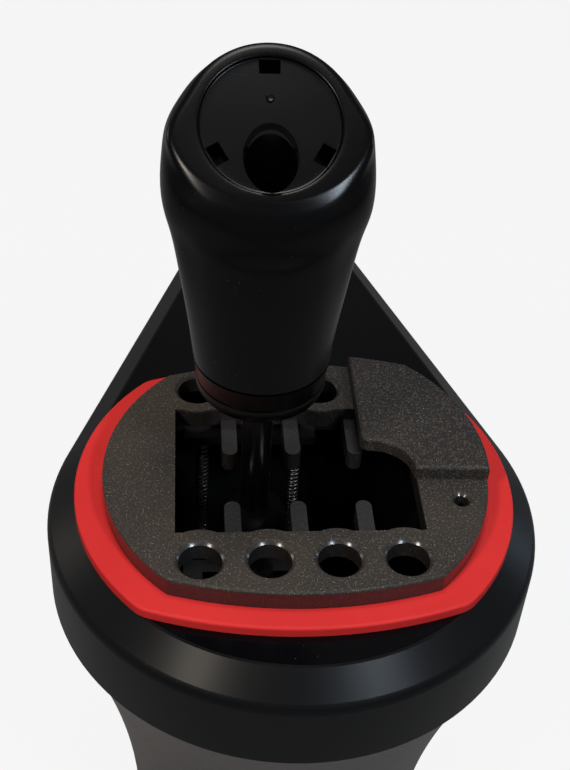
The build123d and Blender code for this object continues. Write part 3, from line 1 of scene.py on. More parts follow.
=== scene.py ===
"""Looks of a sim racing gear shifter: finishes, finer pieces, soft studio light and the camera.

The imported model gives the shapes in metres. X runs to the driver's right, Y away from the driver
and Z up. Each sub-assembly is a class that dresses its nodes and builds its own finer pieces.
"""

import json
import logging
import math
from dataclasses import dataclass
from enum import Enum
from typing import Callable, Sequence

import bpy
from mathutils import Matrix, Vector


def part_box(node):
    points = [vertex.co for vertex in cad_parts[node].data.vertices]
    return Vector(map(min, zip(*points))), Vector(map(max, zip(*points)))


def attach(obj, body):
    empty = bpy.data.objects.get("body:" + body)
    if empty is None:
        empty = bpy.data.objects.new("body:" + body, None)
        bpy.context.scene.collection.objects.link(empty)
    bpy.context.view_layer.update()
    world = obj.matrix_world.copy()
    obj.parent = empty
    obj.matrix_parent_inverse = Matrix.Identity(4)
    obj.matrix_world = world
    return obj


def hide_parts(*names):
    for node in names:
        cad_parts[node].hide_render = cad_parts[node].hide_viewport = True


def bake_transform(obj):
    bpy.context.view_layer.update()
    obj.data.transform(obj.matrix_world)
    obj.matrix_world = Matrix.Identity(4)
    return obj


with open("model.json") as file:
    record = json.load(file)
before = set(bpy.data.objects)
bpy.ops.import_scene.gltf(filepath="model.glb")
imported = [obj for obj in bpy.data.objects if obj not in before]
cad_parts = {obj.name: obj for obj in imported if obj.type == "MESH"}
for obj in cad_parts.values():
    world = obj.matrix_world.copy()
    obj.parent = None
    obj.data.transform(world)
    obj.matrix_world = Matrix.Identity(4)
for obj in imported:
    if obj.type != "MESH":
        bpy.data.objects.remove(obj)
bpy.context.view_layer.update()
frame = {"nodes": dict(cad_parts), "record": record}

LOG = logging.getLogger("shifter")
MM = 0.001
BACKGROUND_RAYS = {"Is Camera Ray": 1.0, "Is Glossy Ray": 0.12, "Is Transmission Ray": 1.0}
WHITE = (1.0, 1.0, 1.0)

Colour = tuple[float, float, float]
Number = "Field | float"
Piece = bpy.types.Object


class Field:
    """A value inside a shader graph that takes part in plain arithmetic."""

    def __init__(self, graph: "Graph", socket: bpy.types.NodeSocket) -> None:
        """Keep the graph and the output socket that carries the value."""
        self.graph = graph
        self.socket = socket

    def _math(self, operation: str, first: Number, second: Number = 0.0) -> "Field":
        """Join two values with one Math node."""
        return self.graph.node("ShaderNodeMath", {0: first, 1: second}, operation=operation)

    def __add__(self, other: Number) -> "Field":
        """Add a value or a number."""
        return self._math("ADD", self, other)

    __radd__ = __add__

    def __sub__(self, other: Number) -> "Field":
        """Subtract a value or a number."""
        return self._math("SUBTRACT", self, other)

    def __rsub__(self, other: Number) -> "Field":
        """Subtract this value from a number."""
        return self._math("SUBTRACT", other, self)

    def __mul__(self, other: Number) -> "Field":
        """Multiply by a value or a number."""
        return self._math("MULTIPLY", self, other)

    __rmul__ = __mul__

    def __gt__(self, other: Number) -> "Field":
        """Give 1 where this value is the greater."""
        return self._math("GREATER_THAN", self, other)

    def __lt__(self, other: Number) -> "Field":
        """Give 1 where this value is the smaller."""
        return self._math("LESS_THAN", self, other)

    def power(self, exponent: float) -> "Field":
        """Raise to a power."""
        return self._math("POWER", self, exponent)

    def smooth(self, low: float, high: float) -> "Field":
        """Rise smoothly from 0 at the low limit to 1 at the high one."""
        values = {"Value": self, "From Min": low, "From Max": high}
        return self.graph.node("ShaderNodeMapRange", values, interpolation_type="SMOOTHSTEP")


class Graph:
    """The node tree of one material or world, filled by expressions."""

    def __init__(self, owner: bpy.types.Material | bpy.types.World) -> None:
        """Start with an empty tree.

        Args:
            owner: The material or world that holds the tree.
        """
        owner.use_nodes = True
        self.owner = owner
        self.tree = owner.node_tree
        self.tree.nodes.clear()

    def node(
        self,
        kind: str,
        values: dict[str | int, object] | None = None,
        output: str | int = 0,
        **settings: object,
    ) -> Field:
        """Add one node, set it up and give one of its outputs.

        Args:
            kind: The node's type.
            values: Numbers, colours or links by socket name or place.
            output: The output to return.
            **settings: Properties of the node, set before its sockets.

        Returns:
            The chosen output.
        """
        made = self.tree.nodes.new(kind)
        for key, value in settings.items():
            setattr(made, key, value)
        for key, value in (values or {}).items():
            if isinstance(value, Field):
                self.tree.links.new(value.socket, made.inputs[key])
            else:
                made.inputs[key].default_value = value
        return Field(self, made.outputs[output])

    def place(self, scale: Colour = (1.0, 1.0, 1.0), turn: Colour = (0.0, 0.0, 0.0)) -> Field:
        """Give the Object coordinates, stretched along the axes and turned about them in radians."""
        where = self.node("ShaderNodeTexCoord", output="Object")
        return self.node("ShaderNodeMapping", {"Vector": where, "Scale": scale, "Rotation": turn})

    def axis(self, where: Field, name: str) -> Field:
        """Give one axis of a place."""
        return self.node("ShaderNodeSeparateXYZ", {0: where}, output=name)

    def noise(self, where: Field, scale: float, detail: float = 3.0, rough: float = 0.5) -> Field:
        """Give soft noise from 0 to 1, with so many features per metre and finer layers."""
        values = {"Vector": where, "Scale": scale, "Detail": detail, "Roughness": rough}
        return self.node("ShaderNodeTexNoise", values)

    def cells(self, where: Field, scale: float, output: str = "Distance") -> Field:
        """Give a cell pattern, as the distance to the cell's centre or its random colour."""
        return self.node("ShaderNodeTexVoronoi", {"Vector": where, "Scale": scale}, output=output)

    def lines(self, where: Field, scale: float, direction: str, wobble: float) -> Field:
        """Give fine parallel lines from 0 to 1, counted along one axis, that wander a little."""
        values = {"Vector": where, "Scale": scale, "Distortion": wobble, "Detail": 1.0}
        return self.node("ShaderNodeTexWave", values, output="Fac", bands_direction=direction)

    def mix(self, share: Number, low: object, high: object) -> Field:
        """Mix two colours.

        Args:
            share: The share of the second colour.
            low: The first colour or link.
            high: The second colour or link.

        Returns:
            The mixed colour.
        """
        made = self.tree.nodes.new("ShaderNodeMix")
        made.data_type = "RGBA"
        made.clamp_factor = True
        for place, value in ((0, share), (6, low), (7, high)):
            if isinstance(value, Field):
                self.tree.links.new(value.socket, made.inputs[place])
            elif isinstance(value, tuple):
                made.inputs[place].default_value = (*value, 1.0)
            else:
                made.inputs[place].default_value = value
        return Field(self, made.outputs[2])

    def bump(self, height: Field, depth: float, strength: float = 1.0) -> Field:
        """Turn a height from 0 to 1 into a normal, with the relief's depth in metres."""
        return self.node("ShaderNodeBump", {"Height": height, "Distance": depth, "Strength": strength})

    def seen(self) -> Field:
        """Give the share of the white background that each kind of ray sees."""
        direct, mirrored, through = (
            self.node("ShaderNodeLightPath", output=name) * share for name, share in BACKGROUND_RAYS.items()
        )
        return direct + mirrored + through

    def close(self, sockets: dict[str, object]) -> bpy.types.Material:
        """Add the surface shader with its sockets and the output, and give the material."""
        self.show(self.node("ShaderNodeBsdfPrincipled", sockets, output="BSDF"))
        return self.owner

    def show(self, shader: Field, kind: str = "ShaderNodeOutputMaterial") -> None:
        """Join a shader to the output."""
        made = self.tree.nodes.new(kind)
        self.tree.links.new(shader.socket, made.inputs["Surface"])


def shade(colour: Colour, share: float) -> Colour:
    """Make a colour lighter or darker."""
    return tuple(min(1.0, share * part) for part in colour)


@dataclass(frozen=True)
class Finish:
    """A finish with its own colour, gloss and fine relief."""

    name: str
    colour: Colour
    accent: Colour
    roughness: float
    metallic: float = 0.0
    coat: float = 0.0
    coat_roughness: float = 0.1
    specular: float = 0.5

    def material(self) -> bpy.types.Material:
        """Build the material.

        Returns:
            The material.
        """
        graph = Graph(bpy.data.materials.new(self.name))
        sockets: dict[str, object] = {
            "Base Color": (*self.colour, 1.0),
            "Roughness": self.roughness,
            "Metallic": self.metallic,
            "Coat Weight": self.coat,
            "Coat Roughness": self.coat_roughness,
            "Specular IOR Level": self.specular,
        }
        sockets.update(self.surface(graph))
        return graph.close(sockets)

    def surface(self, graph: Graph) -> dict[str, object]:
        """Give the sockets that vary over the surface.

        Args:
            graph: The graph to build in.

        Returns:
            Links by the shader's socket names.
        """
        where = graph.place()
        cloud = graph.noise(where, 90.0, 4.0)
        grain = graph.noise(where, 2600.0, 2.0)
        return {
            "Base Color": graph.mix(cloud.smooth(0.3, 0.75), self.colour, self.accent),
            "Roughness": self.roughness + (cloud - 0.5) * 0.1 + (grain - 0.5) * 0.06,
            "Normal": graph.bump(grain, 0.02 * MM, 0.5),
        }


@dataclass(frozen=True)
class SparklingPrint(Finish):
    """A fine layered plastic with mineral sparkle, fine top lines and light scratches, with painted shade
    towards the back right and on its walls.
    """

    # Colour of the painted shade towards the back right, also darkened for the painted shade on the walls
    far: Colour = (0.0125, 0.0125, 0.0145)
    glint: Colour = (0.45, 0.42, 0.35)
    scratched: Colour = (0.02, 0.018, 0.016)
    top: float = 150.0 * MM
    # Where the painted shade towards the back right starts and ends, in X and Y
    far_shade_from: tuple[float, float] = (-30.0 * MM, -30.0 * MM)
    far_shade_to: tuple[float, float] = (45.0 * MM, 20.0 * MM)

    def surface(self, graph: Graph) -> dict[str, object]:
        """Give sparkle, layer lines and scratches on top, painted shade towards the back right, and glossier
        streaked walls with painted shade.

        Args:
            graph: The graph to build in.

        Returns:
            Links by the shader's socket names.
        """
        where = graph.place()
        diagonal = graph.place(turn=(0.0, 0.0, math.radians(45.0)))
        cloud = graph.noise(where, 34.0, 4.0)
        mottle = graph.noise(where, 1500.0, 3.0, 0.75)
        speck = graph.noise(where, 3600.0, 2.0, 0.8)
        flecks = graph.cells(where, 2300.0)
        rare = graph.axis(graph.cells(where, 2300.0, "Color"), "X") > 0.78
        sparkle = (1.0 - flecks.smooth(0.1, 0.3)) * rare
        # Painted shade: the colour darkens towards the back right, where less light falls
        across, along = (
            graph.axis(where, name).smooth(low, high)
            for name, low, high in zip("XY", self.far_shade_from, self.far_shade_to)
        )
        far_shade_mask = across * along
        rows = graph.lines(diagonal, 700.0, "X", 1.2)
        layers = graph.lines(where, 1250.0, "Z", 0.6)
        scratch_place = graph.place((60.0, 5.0, 30.0), (0.0, 0.0, math.radians(-38.0)))
        scratch = 1.0 - (graph.noise(scratch_place, 6.0, 2.0) - 0.5).power(2.0).smooth(0.0, 0.00002)
        scratch = scratch * graph.noise(where, 28.0, 2.0).smooth(0.56, 0.66)
        base = graph.mix(cloud.smooth(0.35, 0.7), self.colour, self.accent)
        base = graph.mix(far_shade_mask * 0.75, base, self.far)
        base = graph.mix(mottle.smooth(0.5, 0.62) * 0.55, base, shade(self.colour, 2.6))
        base = graph.mix(speck.smooth(0.5, 0.62) * 0.4, base, shade(self.colour, 0.35))
        base = graph.mix(sparkle * 0.7, base, self.glint)
        base = graph.mix(scratch * 0.35, base, self.scratched)
        # Painted shade: the walls below the top, in the holes, slots and at the edges, are darkened where
        # shade falls; their coat and streaks are real gloss and relief
        wall = 1.0 - graph.axis(where, "Z").smooth(self.top - 0.9 * MM, self.top - 0.3 * MM)
        streak = graph.noise(graph.place((1.0, 1.0, 0.04)), 1500.0, 2.0, 0.6)
        base = graph.mix(wall * 0.7, base, shade(self.far, 0.6))
        height = mottle * 0.55 + speck * 0.3 + rows * 0.2 + layers * 0.35
        height = height + sparkle * 0.4 - scratch * 0.4
        height = height * (1.0 - wall * 0.6) + streak * wall * 0.8
        return {
            "Base Color": base,
            "Coat Weight": wall * 0.9,
            "Roughness": self.roughness + (mottle - 0.5) * 0.22 - sparkle * 0.25,
            "Normal": graph.bump(height, 0.06 * MM, 0.8),
        }


@dataclass(frozen=True)
class MouldedPlastic(Finish):
    """A moulded plastic with a fine grain, faint handling marks and dust."""

    grain_depth: float = 0.02 * MM
    marks: float = 0.5
    dusty: Colour = (0.25, 0.24, 0.22)

    def surface(self, graph: Graph) -> dict[str, object]:
        """Give grain, soft wear and a few hairlines.

        Args:
            graph: The graph to build in.

        Returns:
            Links by the shader's socket names.
        """
        where = graph.place()
        cloud = graph.noise(where, 26.0, 4.0)
        grain = graph.noise(where, 3200.0, 2.0, 0.6)
        dust = 1.0 - graph.cells(where, 420.0).smooth(0.04, 0.09)
        dust = dust * graph.noise(where, 60.0).smooth(0.5, 0.7)
        hair_place = graph.place((9.0, 70.0, 40.0), (0.0, 0.2, math.radians(22.0)))
        hair = 1.0 - (graph.noise(hair_place, 5.0, 2.0) - 0.5).power(2.0).smooth(0.0, 0.00003)
        hair = hair * cloud.smooth(0.5, 0.62)
        base = graph.mix(cloud.smooth(0.3, 0.75), self.colour, self.accent)
        base = graph.mix(dust * 0.3 * self.marks, base, self.dusty)
        rough = self.roughness + (cloud - 0.5) * 0.14 + (grain - 0.5) * 0.05
        return {
            "Base Color": base,
            "Roughness": rough + hair * 0.12 * self.marks + dust * 0.2 * self.marks,
            "Normal": graph.bump(grain - hair * 0.4 * self.marks, self.grain_depth, 0.6),
        }


@dataclass(frozen=True)
class DrawnMetal(Finish):
    """A drawn or turned metal with fine lines along or round one axis."""

    stretch: Colour = (1.0, 1.0, 0.03)
    line_depth: float = 0.01 * MM

    def surface(self, graph: Graph) -> dict[str, object]:
        """Give fine lines and soft stains.

        Args:
            graph: The graph to build in.

        Returns:
            Links by the shader's socket names.
        """
        where = graph.place()
        streak = graph.noise(graph.place(self.stretch), 2400.0, 3.0, 0.6)
        cloud = graph.noise(where, 70.0, 4.0)
        base = graph.mix(streak * 0.5 + cloud * 0.5, self.colour, self.accent)
        return {
            "Base Color": base,
            "Roughness": self.roughness + (streak - 0.5) * 0.18 + (cloud - 0.5) * 0.1,
            "Normal": graph.bump(streak, self.line_depth, 0.7),
        }


@dataclass(frozen=True)
class PowderCoat(Finish):
    """A satin powder coat with a fine orange peel and metal flake, with painted shade inside a bowl.

    The painted shade darkens the bowl's inside, which lies within a radius that is a quadratic of the height,
    given by hollow, and in front of its flat back, or above its shelf.
    """

    peel_scale: float = 900.0
    hollow: Colour = (0.0, 0.0, 0.0)
    back: float = 0.0
    shelf: float = 108.5 * MM
    # Colour of the painted shade inside the bowl
    inside_shade: Colour = (0.003, 0.003, 0.0035)

    def surface(self, graph: Graph) -> dict[str, object]:
        """Give orange peel, flake, a soft cloud and, where a back is given, painted shade inside the bowl.

        Args:
            graph: The graph to build in.

        Returns:
            Links by the shader's socket names.
        """
        where = graph.place()
        cloud = graph.noise(where, 18.0, 3.0)
        peel = graph.noise(where, self.peel_scale, 2.0)
        flake = graph.cells(where, 2600.0, "Color")
        bright = graph.axis(flake, "X").smooth(0.7, 1.0)
        base = graph.mix(cloud.smooth(0.3, 0.7), self.colour, self.accent)
        base = graph.mix(bright * 0.3, base, shade(self.accent, 2.0))
        # Painted shade: the bowl's inside takes a near-black colour where shade falls
        if self.back:
            across, along, high = (graph.axis(where, name) for name in "XYZ")
            reach = (across * across + along * along).power(0.5)
            start, slope, curve = self.hollow
            inside = reach < start + slope * high + curve * high * high
            inside = inside * ((along < self.back) + (high > self.shelf))
            base = graph.mix(inside, base, self.inside_shade)
        return {
            "Base Color": base,
            "Roughness": self.roughness + (peel - 0.5) * 0.12,
            "Normal": graph.bump(peel, 0.03 * MM, 0.5),
        }


class Look(Enum):
    """The finishes of the shifter by the piece they belong to."""

    GATE = SparklingPrint(
        "gate_print", (0.038, 0.0305, 0.024), (0.022, 0.02, 0.0185), 0.52, coat_roughness=0.2, specular=0.2
    )
    RING = MouldedPlastic(
        "ring_red", (0.63, 0.03, 0.028), (0.57, 0.024, 0.024), 0.5,
        specular=0.12, grain_depth=0.01 * MM, marks=0.15,
    )
    PANEL = MouldedPlastic(
        "panel_gloss", (0.0015, 0.0015, 0.002), (0.002, 0.002, 0.0025), 0.16,
        specular=0.12, grain_depth=0.002 * MM,
    )
    SHELL = MouldedPlastic(
        "shell_plastic", (0.003, 0.0032, 0.0038), (0.0045, 0.0045, 0.005), 0.36,
        specular=0.12, grain_depth=0.012 * MM,
    )
    # The bowl's inside is darkened as painted shade, within hollow, in front of back and above the shelf
    BOWL = PowderCoat(
        "body_metal", (0.085, 0.077, 0.076), (0.11, 0.1, 0.097), 0.45, 0.1,
        specular=0.2, hollow=(0.04535, 0.026, 1.4375), back=38.5 * MM,
    )
    KNOB = MouldedPlastic(
        "knob_plastic", (0.0006, 0.0006, 0.0009), (0.001, 0.001, 0.0012), 0.25,
        specular=0.16, grain_depth=0.008 * MM,
    )
    LEVER = DrawnMetal("lever_steel", (0.05, 0.048, 0.046), (0.11, 0.105, 0.1), 0.3, 1.0)
    ZINC = DrawnMetal(
        "zinc_steel", (0.42, 0.42, 0.43), (0.56, 0.56, 0.57), 0.34, 1.0, stretch=(1.0, 1.0, 0.6)
    )
    BLACK_STEEL = DrawnMetal(
        "black_steel", (0.008, 0.008, 0.009), (0.014, 0.014, 0.015), 0.45, 0.5, specular=0.2
    )
    # Colour darkened from plain spring steel as painted shade, since the springs sit in the shell's shade
    SPRING = DrawnMetal("spring_steel", (0.1, 0.098, 0.095), (0.16, 0.155, 0.15), 0.32, 1.0)
    # Colour darkened from bare aluminium as painted shade, since the frame sits in the shell's shade
    FRAME = DrawnMetal(
        "frame_metal", (0.05, 0.05, 0.053), (0.08, 0.08, 0.083), 0.42, 1.0, stretch=(0.05, 1.0, 1.0)
    )
    BRONZE = DrawnMetal("bronze", (0.42, 0.27, 0.12), (0.52, 0.36, 0.18), 0.42, 1.0)
    MAGNET = DrawnMetal("magnet", (0.58, 0.58, 0.6), (0.66, 0.66, 0.68), 0.2, 1.0)
    BOARD = Finish("board", (0.01, 0.09, 0.035), (0.012, 0.12, 0.045), 0.4, coat=0.3)
    CONNECTOR = MouldedPlastic("connector", (0.01, 0.01, 0.011), (0.015, 0.015, 0.015), 0.45, specular=0.3)
    SOCKET = DrawnMetal("socket_metal", (0.5, 0.5, 0.51), (0.62, 0.62, 0.63), 0.3, 1.0)
    RUBBER = MouldedPlastic("rubber", (0.012, 0.012, 0.012), (0.02, 0.02, 0.02), 0.75, grain_depth=0.04 * MM)
    INNER = MouldedPlastic(
        "inner_plastic", (0.0012, 0.0012, 0.0014), (0.002, 0.002, 0.002), 0.55, specular=0.08
    )
    ARM = PowderCoat("arm_metal", (0.02, 0.02, 0.022), (0.028, 0.028, 0.03), 0.45, 0.2)


class Dresser:
    """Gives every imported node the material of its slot."""

    def __init__(self) -> None:
        """Build one material for each finish."""
        self.materials = {look.value.name: look.value.material() for look in Look}

    def dress(self, piece: Piece, look: Look) -> None:
        """Put one finish on a piece."""
        piece.data.materials.clear()
        piece.data.materials.append(self.materials[look.value.name])

    def dress_nodes(self) -> None:
        """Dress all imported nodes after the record's slots."""
        for part in frame["record"]["subparts"]:
            node = frame["nodes"][part["node"]]
            node.data.materials.clear()
            node.data.materials.append(self.materials[part["material_slot"]])
            LOG.info("dressed %s with %s", part["node"], part["material_slot"])


class Bench:
    """The modelling bench: Blender's own tools, used on one mesh at a time."""

    @staticmethod
    def clear() -> None:
        """Close any open mesh and leave nothing selected."""
        if bpy.context.object and bpy.context.mode != "OBJECT":
            bpy.ops.object.mode_set(mode="OBJECT")
        bpy.ops.object.select_all(action="DESELECT")

    @classmethod
    def take(cls, *pieces: Piece) -> None:
        """Select some pieces, the first one active.

        Args:
            *pieces: The pieces to select.
        """
        cls.clear()
        for piece in pieces:
            piece.select_set(True)
        bpy.context.view_layer.objects.active = pieces[0]

    @classmethod
    def open(cls, piece: Piece, kind: str = "VERT") -> None:
        """Open a mesh with all of it selected.

        Args:
            piece: The mesh.
            kind: What is selected: VERT, EDGE or FACE.
        """
        cls.take(piece)
        bpy.ops.object.mode_set(mode="EDIT")
        bpy.ops.mesh.select_mode(type=kind)
        bpy.ops.mesh.select_all(action="SELECT")

    @staticmethod
    def close() -> None:
        """Close the open mesh."""
        bpy.ops.object.mode_set(mode="OBJECT")

    @classmethod
    def modify(cls, piece: Piece, kind: str, **settings: object) -> Piece:
        """Add one modifier, set it up and apply it.

        Args:
            piece: The mesh.
            kind: The modifier's type.
            **settings: Its properties.

        Returns:
            The same mesh.
        """
        cls.take(piece)
        modifier = piece.modifiers.new(kind.lower(), kind)
        for name, value in settings.items():
            setattr(modifier, name, value)
        bpy.ops.object.modifier_apply(modifier=modifier.name)
        return piece

    @classmethod
    def name(cls, name: str) -> Piece:
        """Name the new primitive and put its place into its mesh.

        Args:
            name: The piece's name.

        Returns:
            The piece.
        """
        piece = bpy.context.object
        piece.name = piece.data.name = name
        bpy.ops.object.transform_apply(location=True, rotation=True, scale=True)
        return piece

    @classmethod
    def cylinder(cls, name: str, radius: float, low: float, high: float, sides: int) -> Piece:
        """Add an upright cylinder round Z between two heights."""
        cls.clear()
        bpy.ops.mesh.primitive_cylinder_add(
            vertices=sides, radius=radius, depth=high - low, location=(0.0, 0.0, (low + high) / 2.0)
        )
        return cls.name(name)

    @classmethod
    def trace(cls, name: str, points: Sequence[tuple[float, float]]) -> Piece:
        """Draw an outline of radius and height by extruding one vertex.

        Args:
            name: The piece's name.
            points: Radius and height of each point.

        Returns:
            The outline, in the plane of X and Z.
        """
        cls.clear()
        (radius, height), *rest = points
        bpy.ops.mesh.primitive_plane_add(size=1.0, location=(radius, 0.0, height))
        outline = cls.name(name)
        cls.open(outline)
        bpy.ops.mesh.merge(type="CENTER")
        for next_radius, next_height in rest:
            step = (next_radius - radius, 0.0, next_height - height)
            bpy.ops.mesh.extrude_region_move(TRANSFORM_OT_translate={"value": step})
            radius, height = next_radius, next_height
        cls.close()
        return outline

    @classmethod
    def wind(cls, piece: Piece, turns: float, rise: float, steps: int) -> Piece:
        """Wind an outline round Z, by turns with so many steps each, climbing in all by the rise."""
        count = round(steps * turns)
        return cls.modify(
            piece, "SCREW", axis="Z", angle=math.tau * turns, screw_offset=rise,
            steps=count, render_steps=count, use_merge_vertices=False,
        )

    @classmethod
    def turned(cls, name: str, line: Sequence[tuple[float, float]], sides: int) -> Piece:
        """Turn an outline of radius and height once round Z into a closed form."""
        return cls.weld(cls.wind(cls.trace(name, line), 1.0, 0.0, sides))

    @classmethod
    def weld(cls, piece: Piece, gap: float = 0.002 * MM) -> Piece:
        """Merge what meets, close the ends and turn all faces outwards.

        Args:
            piece: The mesh.
            gap: The distance below which points merge.

        Returns:
            The same mesh.
        """
        cls.open(piece)
        bpy.ops.mesh.remove_doubles(threshold=gap)
        bpy.ops.mesh.fill_holes(sides=0)
        bpy.ops.mesh.select_all(action="SELECT")
        bpy.ops.mesh.normals_make_consistent(inside=False)
        cls.close()
        return piece

    @classmethod
    def pick(cls, piece: Piece, wanted: Callable[[bpy.types.MeshPolygon], bool]) -> None:
        """Open a mesh with only some of its faces selected.

        Args:
            piece: The mesh.
            wanted: The test of a face.
        """
        cls.open(piece, "FACE")
        bpy.ops.mesh.select_all(action="DESELECT")
        cls.close()
        for face in piece.data.polygons:
            face.select = wanted(face)
        bpy.ops.object.mode_set(mode="EDIT")

    @classmethod
    def cut(cls, piece: Piece, tools: Sequence[Piece]) -> None:
        """Cut some meshes out of another and drop them.

        Args:
            piece: The mesh to cut.
            tools: The meshes that are taken away, one after the other.
        """
        for tool in tools:
            cls.modify(piece, "BOOLEAN", operation="DIFFERENCE", solver="EXACT", object=tool)
            bpy.data.objects.remove(tool)

    @classmethod
    def join(cls, name: str, pieces: Sequence[Piece]) -> Piece:
        """Join pieces into one object.

        Args:
            name: The name of the joined piece.
            pieces: The pieces.

        Returns:
            The joined piece.
        """
        cls.take(*pieces)
        bpy.ops.object.join()
        joined = pieces[0]
        joined.name = joined.data.name = name
        return joined

    @classmethod
    def copy(cls, piece: Piece, place: Matrix) -> Piece:
        """Copy a piece with its own mesh, set at a place.

        Args:
            piece: The piece to copy.
            place: The turn and shift of the copy.

        Returns:
            The copy.
        """
        cls.take(piece)
        bpy.ops.object.duplicate()
        made = bpy.context.object
        made.matrix_world = place
        bpy.ops.object.transform_apply(location=True, rotation=True, scale=True)
        return made

    @classmethod
    def soften(cls, piece: Piece, angle: float = 40.0) -> None:
        """Shade a mesh smoothly up to an edge angle in degrees."""
        cls.take(piece)
        bpy.ops.object.shade_smooth_by_angle(angle=math.radians(angle))

    @classmethod
    def islands(cls, node: str) -> list[tuple[Vector, Vector]]:
        """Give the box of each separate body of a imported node.

        Args:
            node: The node's name.

        Returns:
            The lowest and highest corner of each body.
        """
        source = frame["nodes"][node]
        copy = bpy.data.objects.new("measured", source.data.copy())
        bpy.context.scene.collection.objects.link(copy)
        cls.open(copy)
        bpy.ops.mesh.remove_doubles(threshold=0.001 * MM)
        bpy.ops.mesh.separate(type="LOOSE")
        cls.close()
        boxes = []
        for loose in list(bpy.context.selected_objects):
            axes = list(zip(*(vertex.co for vertex in loose.data.vertices)))
            boxes.append((Vector(map(min, axes)), Vector(map(max, axes))))
            bpy.data.objects.remove(loose)
        return boxes


@dataclass
class CoilSpring:
    """A coil spring with closed, ground ends, wound in the place of its imported node."""

    node: str
    upper_body: str
    lower_body: str
    wire: float
    turns: int
    closed_turns: float = 1.0
    closed_pitch: float = 1.08
    wire_sides: int = 12
    steps: int = 20

    def build(self, dresser: Dresser) -> None:
        """Wind the spring in its packed place.

        Args:
            dresser: The dresser that holds the finishes.
        """
        low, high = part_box(self.node)
        middle = (low + high) / 2.0
        mean = (high.x - low.x - self.wire) / 2.0
        closed = self.closed_turns * self.closed_pitch * self.wire
        open_rise = high.z - low.z - self.wire - 2.0 * closed
        open_turns = self.turns - 2.0 * self.closed_turns
        parts = []
        height, angle = low.z + self.wire / 2.0, 0.0
        end = (self.closed_turns, closed)
        for turns, rise in (end, (open_turns, open_rise), end):
            parts.append(self.section(mean, height, angle, turns, rise))
            height += rise
            angle += math.tau * turns
        spring = Bench.weld(Bench.join(f"{self.node}_wound", parts))
        spring.data.transform(Matrix.Translation((middle.x, middle.y, 0.0)))
        Bench.soften(spring)
        dresser.dress(spring, Look.SPRING)
        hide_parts(self.node)
        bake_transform(spring)
        LOG.info("wound %s with %d turns", spring.name, self.turns)

    def section(self, mean: float, height: float, angle: float, turns: float, rise: float) -> Piece:
        """Wind one stretch of the spring.

        Args:
            mean: The coil's radius at the wire's middle.
            height: The height of its start.
            angle: The angle of its start.
            turns: The number of turns.
            rise: How far it climbs.

        Returns:
            The open tube of the stretch.
        """
        Bench.clear()
        bpy.ops.mesh.primitive_circle_add(
            vertices=self.wire_sides, radius=self.wire / 2.0,
            location=(mean, 0.0, height), rotation=(math.pi / 2.0, 0.0, 0.0),
        )
        ring = Bench.name("spring_stretch")
        ring.data.transform(Matrix.Rotation(angle, 4, "Z"))
        return Bench.wind(ring, turns, rise, self.steps)


@dataclass
class ClampScrew:
    """The clamp's threaded spindle with its turned tip."""

    pitch: float = 3.0 * MM
    root: float = 4.1 * MM
    crest: float = 5.0 * MM
    plain_foot: float = 8.0 * MM
    tip_radius: float = 3.5 * MM
    tip_height: float = 3.0 * MM
    edge: float = 0.4 * MM
    crease: float = 30.0
    steps: int = 40

    def build(self, dresser: Dresser) -> None:
        """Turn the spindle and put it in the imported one's place.

        Args:
            dresser: The dresser that holds the finishes.
        """
        low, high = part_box("clamp_spindle")
        foot = low.z + self.plain_foot
        shoulder = high.z - self.tip_height
        pieces = [self.thread(foot, shoulder), self.ends(low.z, foot, shoulder, high.z)]
        spindle = Bench.join("clamp_spindle_turned", pieces)
        spindle.data.transform(Matrix.Translation(((low.x + high.x) / 2.0, (low.y + high.y) / 2.0, 0.0)))
        Bench.soften(spindle, self.crease)
        dresser.dress(spindle, Look.ZINC)
        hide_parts("clamp_spindle")
        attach(spindle, "clamp_screw")
        LOG.info("cut the thread of %s", spindle.name)

    def thread(self, low: float, high: float) -> Piece:
        """Cut the trapezoid thread between two heights.

        Args:
            low: The thread's lower end.
            high: Its upper end.

        Returns:
            The closed threaded shank.
        """
        start = low - self.pitch
        root, crest = self.root, self.crest
        shares = ((0.0, root), (0.33, root), (0.5, crest), (0.83, crest), (1.0, root))
        outline = Bench.trace("thread", [(radius, start + share * self.pitch) for share, radius in shares])
        turns = math.ceil((high - low) / self.pitch) + 2
        shank = Bench.weld(Bench.wind(outline, turns, turns * self.pitch, self.steps))
        for height, below in ((low, True), (high, False)):
            Bench.open(shank)
            bpy.ops.mesh.bisect(
                plane_co=(0.0, 0.0, height), plane_no=(0.0, 0.0, 1.0), use_fill=True,
                clear_inner=below, clear_outer=not below,
            )
            Bench.close()
        return Bench.weld(shank)

    def ends(self, low: float, foot: float, shoulder: float, high: float) -> Piece:
        """Turn the plain foot and the tip.

        Args:
            low: The lowest height.
            foot: The upper end of the plain foot.
            shoulder: The height where the tip starts.
            high: The tip's top.

        Returns:
            Both ends as one mesh.
        """
        edge, root, crest, tip = self.edge, self.root, self.crest, self.tip_radius
        below = [(0.0, low), (crest - edge, low), (crest, low + edge), (crest, foot - edge)]
        below += [(root, foot), (0.0, foot)]
        above = [(0.0, shoulder - edge), (root, shoulder - edge), (root, shoulder), (tip, shoulder)]
        above += [(tip, high - edge), (tip - edge, high), (0.0, high)]
        ends = [Bench.turned("spindle_end", line, self.steps) for line in (below, above)]
        return Bench.join("spindle_ends", ends)


class Drive(Enum):
    """The recess that a driver fits."""

    HEX = "hex"
    CROSS = "cross"


class HeadForm(Enum):
    """The form of a screw's head: the share of its height that is rounded, and the steps of that."""

    CHEESE = (0.12, 2)
    PAN = (0.45, 4)


